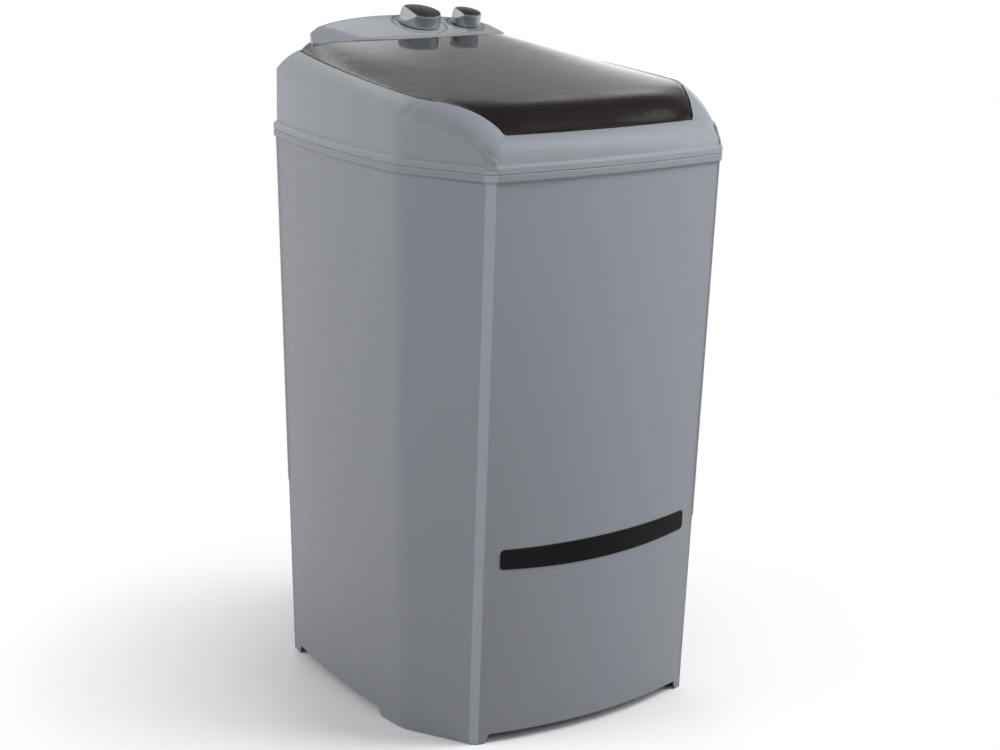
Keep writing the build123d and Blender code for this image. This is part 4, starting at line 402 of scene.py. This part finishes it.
def tub_plastic():
    """Polypropylene tub: pale grey with faint flow lines and dried water marks."""
    s = Shader("tub_plastic")
    dark, light = around((0.60, 0.62, 0.63), 0.05)
    marks = s.span(s.noise(28, 5, 0.7), 0, 1, 0.52, 0.72)
    flow = s.span(s.noise(3, 3, 0.5, s.stretched(1, 1, 0.3)), 0, 1)
    s.set(
        Base_Color=s.over(s.math("MULTIPLY", marks, 0.10), s.over(flow, dark, light), (0.72, 0.73, 0.72)),
        Roughness=s.span(marks, 0.30, 0.42, 0, 1),
        Normal=s.relief(s.noise(420, 3), 0.00006, 0.3, 0.001),
    )
    return s.material


def agitator_plastic():
    return plain_plastic("agitator_plastic", (0.50, 0.56, 0.62), 0.34, 0.2)


def case_plastic():
    return plain_plastic("case_plastic", (0.66, 0.66, 0.62), 0.42)


def drain_plastic():
    return plain_plastic("drain_plastic", (0.055, 0.058, 0.062), 0.40)


def fan_plastic():
    return plain_plastic("fan_plastic", (0.02, 0.02, 0.021), 0.45)


def rubber(name, colour, rough):
    """Rubber with dusty bloom and a fine skin."""
    s = Shader(name)
    bloom = s.span(s.noise(35, 5, 0.7), 0, 1, 0.45, 0.75)
    s.set(
        Base_Color=s.over(bloom, colour, tuple(c * 1.8 + 0.01 for c in colour)),
        Roughness=s.span(bloom, rough, min(rough + 0.12, 1), 0, 1),
        Normal=s.relief(s.noise(900, 4, 0.6), 0.0001, 0.4, 0.0008),
    )
    return s.material


def black_rubber():
    return rubber("rubber", (0.018, 0.018, 0.018), 0.72)


def belt_rubber():
    return rubber("belt_rubber", (0.014, 0.014, 0.014), 0.66)


def hose_rubber():
    """Hose with faint moulding rings."""
    s = Shader("hose_rubber")
    bloom = s.span(s.noise(40, 5, 0.7), 0, 1, 0.45, 0.75)
    s.set(
        Base_Color=s.over(bloom, (0.030, 0.031, 0.033), (0.055, 0.056, 0.058)),
        Roughness=s.span(bloom, 0.55, 0.7, 0, 1),
        Normal=s.relief(s.bands(120, "DIAGONAL", 1.0), 0.0002, 0.15, 0.0008),
    )
    return s.material


def cable_pvc():
    s = Shader("cable_pvc")
    s.set(
        Base_Color=s.over(s.span(s.noise(60, 3), 0, 1), (0.020, 0.020, 0.021), (0.032, 0.032, 0.034)),
        Roughness=s.span(s.noise(200, 3), 0.42, 0.52),
        Normal=s.relief(s.noise(900, 2), 0.00005, 0.3),
    )
    return s.material


def turned_metal(name, colour, rough, scale=900.0, along=(1, 1, 12)):
    """Bright metal with fine tool marks and slight stains."""
    s = Shader(name)
    marks = s.noise(scale, 2, 0.5, s.stretched(*along))
    stain = s.span(s.noise(45, 4, 0.6), 0, 1, 0.4, 0.75)
    s.set(
        Base_Color=s.over(stain, colour, tuple(c * 0.78 for c in colour)),
        Metallic=1.0,
        Roughness=s.span(marks, rough - 0.03, rough + 0.05),
        Normal=s.relief(marks, 0.00003, 0.35, 0.0005),
    )
    return s.material


def screw_steel():
    return turned_metal("screw_steel", (0.62, 0.62, 0.60), 0.34)


def nut_steel():
    return turned_metal("nut_steel", (0.55, 0.55, 0.55), 0.38)


def shaft_steel():
    return turned_metal("shaft_steel", (0.56, 0.56, 0.57), 0.21, 1400.0)


def bearing_steel():
    return turned_metal("bearing_steel", (0.52, 0.52, 0.54), 0.22, 1400.0)


def cast_alloy(name, colour):
    """Cast alloy: matt, slightly pitted."""
    s = Shader(name)
    pits = s.speckle(650)
    stain = s.span(s.noise(30, 5, 0.65), 0, 1, 0.4, 0.7)
    s.set(
        Base_Color=s.over(stain, colour, tuple(c * 0.8 for c in colour)),
        Metallic=0.85,
        Roughness=s.span(s.noise(160, 4), 0.42, 0.58),
        Normal=s.relief(pits, 0.0002, 0.35, 0.0012),
    )
    return s.material


def housing_alloy():
    return cast_alloy("housing_alloy", (0.50, 0.50, 0.51))


def pulley_alloy():
    return cast_alloy("pulley_alloy", (0.56, 0.56, 0.57))


def bracket_steel():
    """Galvanised sheet with a soft spangle."""
    s = Shader("bracket_steel")
    spangle = s.speckle(160)
    s.set(
        Base_Color=s.over(s.span(spangle, 0, 1, 0.1, 0.6), (0.40, 0.41, 0.42), (0.52, 0.53, 0.54)),
        Metallic=0.9,
        Roughness=s.span(spangle, 0.34, 0.5, 0.1, 0.6),
        Normal=s.relief(s.noise(300, 3), 0.00005, 0.25, 0.0006),
    )
    return s.material


def stator_iron():
    """Stacked laminations under varnish."""
    s = Shader("stator_iron")
    sheets = s.bands(320, "Z")
    s.set(
        Base_Color=s.over(sheets, (0.05, 0.045, 0.042), (0.12, 0.115, 0.11)),
        Metallic=0.6,
        Roughness=s.span(s.noise(90, 4), 0.40, 0.55),
        Normal=s.relief(sheets, 0.0002, 0.5, 0.0006),
    )
    return s.material


def coil_copper():
    """Enamelled windings."""
    s = Shader("coil_copper")
    wires = s.bands(520, "Z", 2.5)
    s.set(
        Base_Color=s.over(wires, (0.22, 0.07, 0.025), (0.50, 0.20, 0.08)),
        Metallic=0.7,
        Roughness=0.32,
        Normal=s.relief(wires, 0.0003, 0.6),
        Coat_Weight=0.5,
    )
    return s.material


def capacitor_can():
    return turned_metal("capacitor_can", (0.66, 0.66, 0.66), 0.32, 500.0, (1, 1, 0.05))


MATERIALS = {
    cabinet_plastic: ["cabinet_shell"],
    frame_plastic: ["top_frame"],
    console_plastic: ["console_housing"],
    panel_gloss: ["console_panel"],
    trim_gloss: ["front_trim_strip"],
    lid_smoke: ["lid"],
    knob_grey: ["timer_knob", "selector_knob"],
    knob_insert: ["timer_knob_insert", "selector_knob_insert"],
    black_rubber: ["lid_cushions", "foot_pads", "shaft_seal", "cord_gland"],
    screw_steel: ["tub_screws", "console_screws", "housing_bolts", "motor_bolts", "agitator_screw"],
    nut_steel: ["case_nuts", "pulley_nut"],
    shaft_steel: ["timer_shaft", "selector_shaft", "drive_shaft", "motor_shaft"],
    bearing_steel: ["bearing_lower", "bearing_upper"],
    case_plastic: ["timer_case", "selector_case", "terminal_block", "cable_clips"],
    tub_plastic: ["tub"],
    agitator_plastic: ["agitator"],
    housing_alloy: ["bearing_housing", "motor_shield_upper", "motor_shield_lower"],
    pulley_alloy: ["drive_pulley", "motor_pulley"],
    belt_rubber: ["drive_belt"],
    bracket_steel: ["motor_bracket", "capacitor_clamp", "hose_clips"],
    stator_iron: ["motor_stator", "rotor_core"],
    coil_copper: ["motor_coils"],
    fan_plastic: ["motor_fan"],
    capacitor_can: ["capacitor"],
    drain_plastic: ["drain_outlet", "drain_spigot"],
    hose_rubber: ["drain_hose"],
    cable_pvc: ["supply_cable", "motor_cable"],
}


def dress_nodes():
    """Give every CAD node its material."""
    for build, names in MATERIALS.items():
        material = build()
        for name in names:
            mesh = NODES[name].data
            mesh.materials.clear()
            mesh.materials.append(material)


def mesh_object(name, bm):
    """Object made of a bmesh, in the scene."""
    mesh = bpy.data.meshes.new(name)
    bm.to_mesh(mesh)
    bm.free()
    obj = bpy.data.objects.new(name, mesh)
    bpy.context.scene.collection.objects.link(obj)
    return obj


# Printed marks on the panel

def ink_band(bm, inner, outer):
    """Thin solid band between two lines of points in the panel's plane, with a cap at each end."""
    rows = [[bm.verts.new((x, y, z)) for x, y in line]
            for line, z in ((inner, INK_LOW), (outer, INK_LOW), (outer, INK_TOP), (inner, INK_TOP))]
    for i in range(len(inner) - 1):
        for a, b in zip(rows, rows[1:] + rows[:1]):
            bm.faces.new((a[i], b[i], b[i + 1], a[i + 1]))
    for i in (0, -1):
        bm.faces.new([row[i] for row in rows])


def ink_arc(bm, r, width, start, end):
    """Arc about a knob's axis, angles in degrees from straight up the panel, clockwise."""
    steps = max(2, round(abs(end - start) / ARC_STEP))
    angles = [math.radians(start + (end - start) * i / steps) for i in range(steps + 1)]
    lines = ([(rr * math.sin(a), rr * math.cos(a)) for a in angles] for rr in (r - width / 2, r + width / 2))
    ink_band(bm, *lines)


def ink_tick(bm, angle, near, far, width):
    a = math.radians(angle)
    out = Vector((math.sin(a), math.cos(a)))
    across = Vector((math.cos(a), -math.sin(a))) * width / 2
    ink_band(bm, *([tuple(out * r + side) for r in (near, far)] for side in (-across, across)))


def printed(name, joint, draw):
    """Printed marks round a knob, just proud of the panel."""
    bm = bmesh.new()
    draw(bm)
    bmesh.ops.recalc_face_normals(bm, faces=bm.faces)
    up = -Vector(JOINTS[joint]["axis"]).normalized()
    side = Vector((1, 0, 0))
    turn = Matrix((side, up.cross(side), up)).transposed().to_4x4()
    bm.transform(Matrix.Translation(Vector(JOINTS[joint]["pos_m"]) + up * PANEL_RISE) @ turn)
    obj = mesh_object(name, bm)
    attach(obj, "machine")
    return obj


def timer_marks(bm):
    """Full ring, and a tick for each step of the timer."""
    ink_arc(bm, TIMER_RING, RING_LINE, 0, 360)
    start, end = TIMER_SWEEP
    for i in range(TIMER_STEPS + 1):
        long = TICK_LONG if i % 5 == 0 else TICK_SHORT
        ink_tick(bm, start + (end - start) * i / TIMER_STEPS, TIMER_RING - long, TIMER_RING, TICK_LINE)


def selector_marks(bm):
    """Full ring, and a tick for each of the selector's three places."""
    ink_arc(bm, SELECTOR_RING, RING_LINE, 0, 360)
    for angle in (SELECTOR_SWEEP[0], 0, SELECTOR_SWEEP[1]):
        ink_tick(bm, angle, SELECTOR_RING - TICK_SHORT, SELECTOR_RING + TICK_SHORT, TICK_LINE)


def print_panel():
    material = panel_ink()
    printed("timer_marks", "timer_turn", timer_marks).data.materials.append(material)
    printed("selector_marks", "selector_turn", selector_marks).data.materials.append(material)


# Stage, lights and camera

def stage_floor():
    """Pale floor that fades to the white background away from the object."""
    bm = bmesh.new()
    bmesh.ops.create_circle(bm, cap_ends=True, segments=96, radius=FLOOR_RADIUS)
    floor = mesh_object("stage_floor", bm)
    s = Shader("stage_floor")
    seen = seen_directly(s.tree)
    s.set(Base_Color=s.over(seen, BOUNCE, FLOOR_SEEN), Roughness=0.9)
    s.set(Specular_IOR_Level=0.1)
    reach = s.add("ShaderNodeVectorMath", operation="LENGTH")
    s.put(reach, 0, s.place)
    fade = s.span(reach.outputs["Value"], 0.0, 1.0, *FLOOR_FADE)
    light = s.add("ShaderNodeEmission")
    light.inputs["Strength"].default_value = BACKGROUND
    mix = s.add("ShaderNodeMixShader")
    s.tree.links.new(s.math("MULTIPLY", fade, seen), mix.inputs[0])
    s.tree.links.new(s.surface.outputs[0], mix.inputs[1])
    s.tree.links.new(light.outputs[0], mix.inputs[2])
    s.tree.links.new(mix.outputs[0], s.tree.nodes["Material Output"].inputs["Surface"])
    floor.data.materials.append(s.material)


def seen_directly(tree):
    """1 for camera, glossy and transmission rays."""
    path = tree.nodes.new("ShaderNodeLightPath")
    total = path.outputs["Is Camera Ray"]
    for name in ("Is Glossy Ray", "Is Transmission Ray"):
        node = tree.nodes.new("ShaderNodeMath")
        node.operation = "MAXIMUM"
        tree.links.new(total, node.inputs[0])
        tree.links.new(path.outputs[name], node.inputs[1])
        total = node.outputs["Value"]
    return total


def ramp(tree, value, stops):
    """Grey steps over a value, as (place, strength) pairs."""
    node = tree.nodes.new("ShaderNodeValToRGB")
    band = node.color_ramp
    while len(band.elements) < len(stops):
        band.elements.new(0.5)
    for element, (place, strength) in zip(band.elements, stops):
        element.position = place
        element.color = (strength, strength, strength, 1)
    tree.links.new(value, node.inputs["Fac"])
    return node.outputs["Color"]


def studio_world():
    """White to the camera, light low down and dark overhead in reflections, an even fill for the rest."""
    world = bpy.data.worlds.new("studio")
    bpy.context.scene.world = world
    world.use_nodes = True
    tree = world.node_tree
    fill = tree.nodes["Background"]
    fill.inputs["Color"].default_value = FILL_COLOUR
    fill.inputs["Strength"].default_value = FILL
    white, mirrored = (tree.nodes.new("ShaderNodeBackground") for _ in range(2))
    white.inputs["Color"].default_value = (1, 1, 1, 1)
    white.inputs["Strength"].default_value = BACKGROUND
    place = tree.nodes.new("ShaderNodeTexCoord")
    height = tree.nodes.new("ShaderNodeSeparateXYZ")
    tree.links.new(place.outputs["Generated"], height.inputs["Vector"])
    tree.links.new(ramp(tree, height.outputs["Z"], WORLD_STOPS), mirrored.inputs["Color"])
    path = tree.nodes.new("ShaderNodeLightPath")
    glossy = tree.nodes.new("ShaderNodeMixShader")
    tree.links.new(path.outputs["Is Glossy Ray"], glossy.inputs[0])
    tree.links.new(white.outputs[0], glossy.inputs[1])
    tree.links.new(mirrored.outputs[0], glossy.inputs[2])
    mix = tree.nodes.new("ShaderNodeMixShader")
    tree.links.new(seen_directly(tree), mix.inputs[0])
    tree.links.new(fill.outputs[0], mix.inputs[1])
    tree.links.new(glossy.outputs[0], mix.inputs[2])
    tree.links.new(mix.outputs[0], tree.nodes["World Output"].inputs["Surface"])


def card(name, corners, stops, valley=None):
    """Glowing card that only shows in reflections, graded over its height, which drops to a valley."""
    bm = bmesh.new()
    bm.faces.new([bm.verts.new(corner) for corner in corners])
    obj = mesh_object(name, bm)
    s = Shader(name)
    part = s.add("ShaderNodeSeparateXYZ")
    s.put(part, "Vector", s.place)
    height = part.outputs["Z"]
    if valley:
        left = s.math("MULTIPLY", s.math("SUBTRACT", valley[0], part.outputs["X"]), BACK_LEANS[0])
        right = s.math("MULTIPLY", s.math("SUBTRACT", part.outputs["X"], valley[1]), BACK_LEANS[1])
        drop = s.math("MAXIMUM", s.math("MAXIMUM", left, right), 0.0)
        height = s.math("SUBTRACT", height, drop)
    light = s.add("ShaderNodeEmission")
    s.tree.links.new(ramp(s.tree, s.span(height, 0.0, 1.0, 0.0, CARD_TOP), stops), light.inputs["Color"])
    s.tree.links.new(light.outputs[0], s.tree.nodes["Material Output"].inputs["Surface"])
    obj.data.materials.append(s.material)
    obj.visible_camera = obj.visible_diffuse = obj.visible_transmission = obj.visible_shadow = False


def studio_cards():
    card("backdrop_card", BACK_CARD, BACK_STOPS, BACK_VALLEY)
    card("side_card", SIDE_CARD, SIDE_STOPS)


def lamp(name, place, target, size, power):
    data = bpy.data.lights.new(name, "AREA")
    data.shape = "RECTANGLE"
    data.size, data.size_y = size
    data.energy = power
    obj = bpy.data.objects.new(name, data)
    obj.location = place
    obj.rotation_euler = (Vector(target) - Vector(place)).to_track_quat("-Z", "Y").to_euler()
    bpy.context.scene.collection.objects.link(obj)
    return obj


def studio_lights():
    for name, place, target, size, power in LAMPS:
        lamp(name, place, target, size, power).visible_glossy = False


def photo_camera():
    az, el, roll = (math.radians(v) for v in (CAMERA_AZIMUTH, CAMERA_ELEVATION, CAMERA_ROLL))
    back = Vector((math.sin(az) * math.cos(el), -math.cos(az) * math.cos(el), math.sin(el)))
    side = (-back).cross(Vector((0, 0, 1))).normalized()
    up = side.cross(-back)
    right = side * math.cos(roll) + up * math.sin(roll)
    top = up * math.cos(roll) - side * math.sin(roll)
    data = bpy.data.cameras.new("camera")
    data.sensor_width = SENSOR_WIDTH
    data.lens = CAMERA_LENS
    data.clip_end = 50
    obj = bpy.data.objects.new("camera", data)
    obj.matrix_world = Matrix.Translation(CAMERA_PLACE) @ Matrix((right, top, back)).transposed().to_4x4()
    bpy.context.scene.collection.objects.link(obj)
    bpy.context.scene.camera = obj


photo_camera()
dress_nodes()
print_panel()
stage_floor()
studio_world()
studio_cards()
studio_lights()
bpy.context.scene.view_settings.view_transform = "Standard"
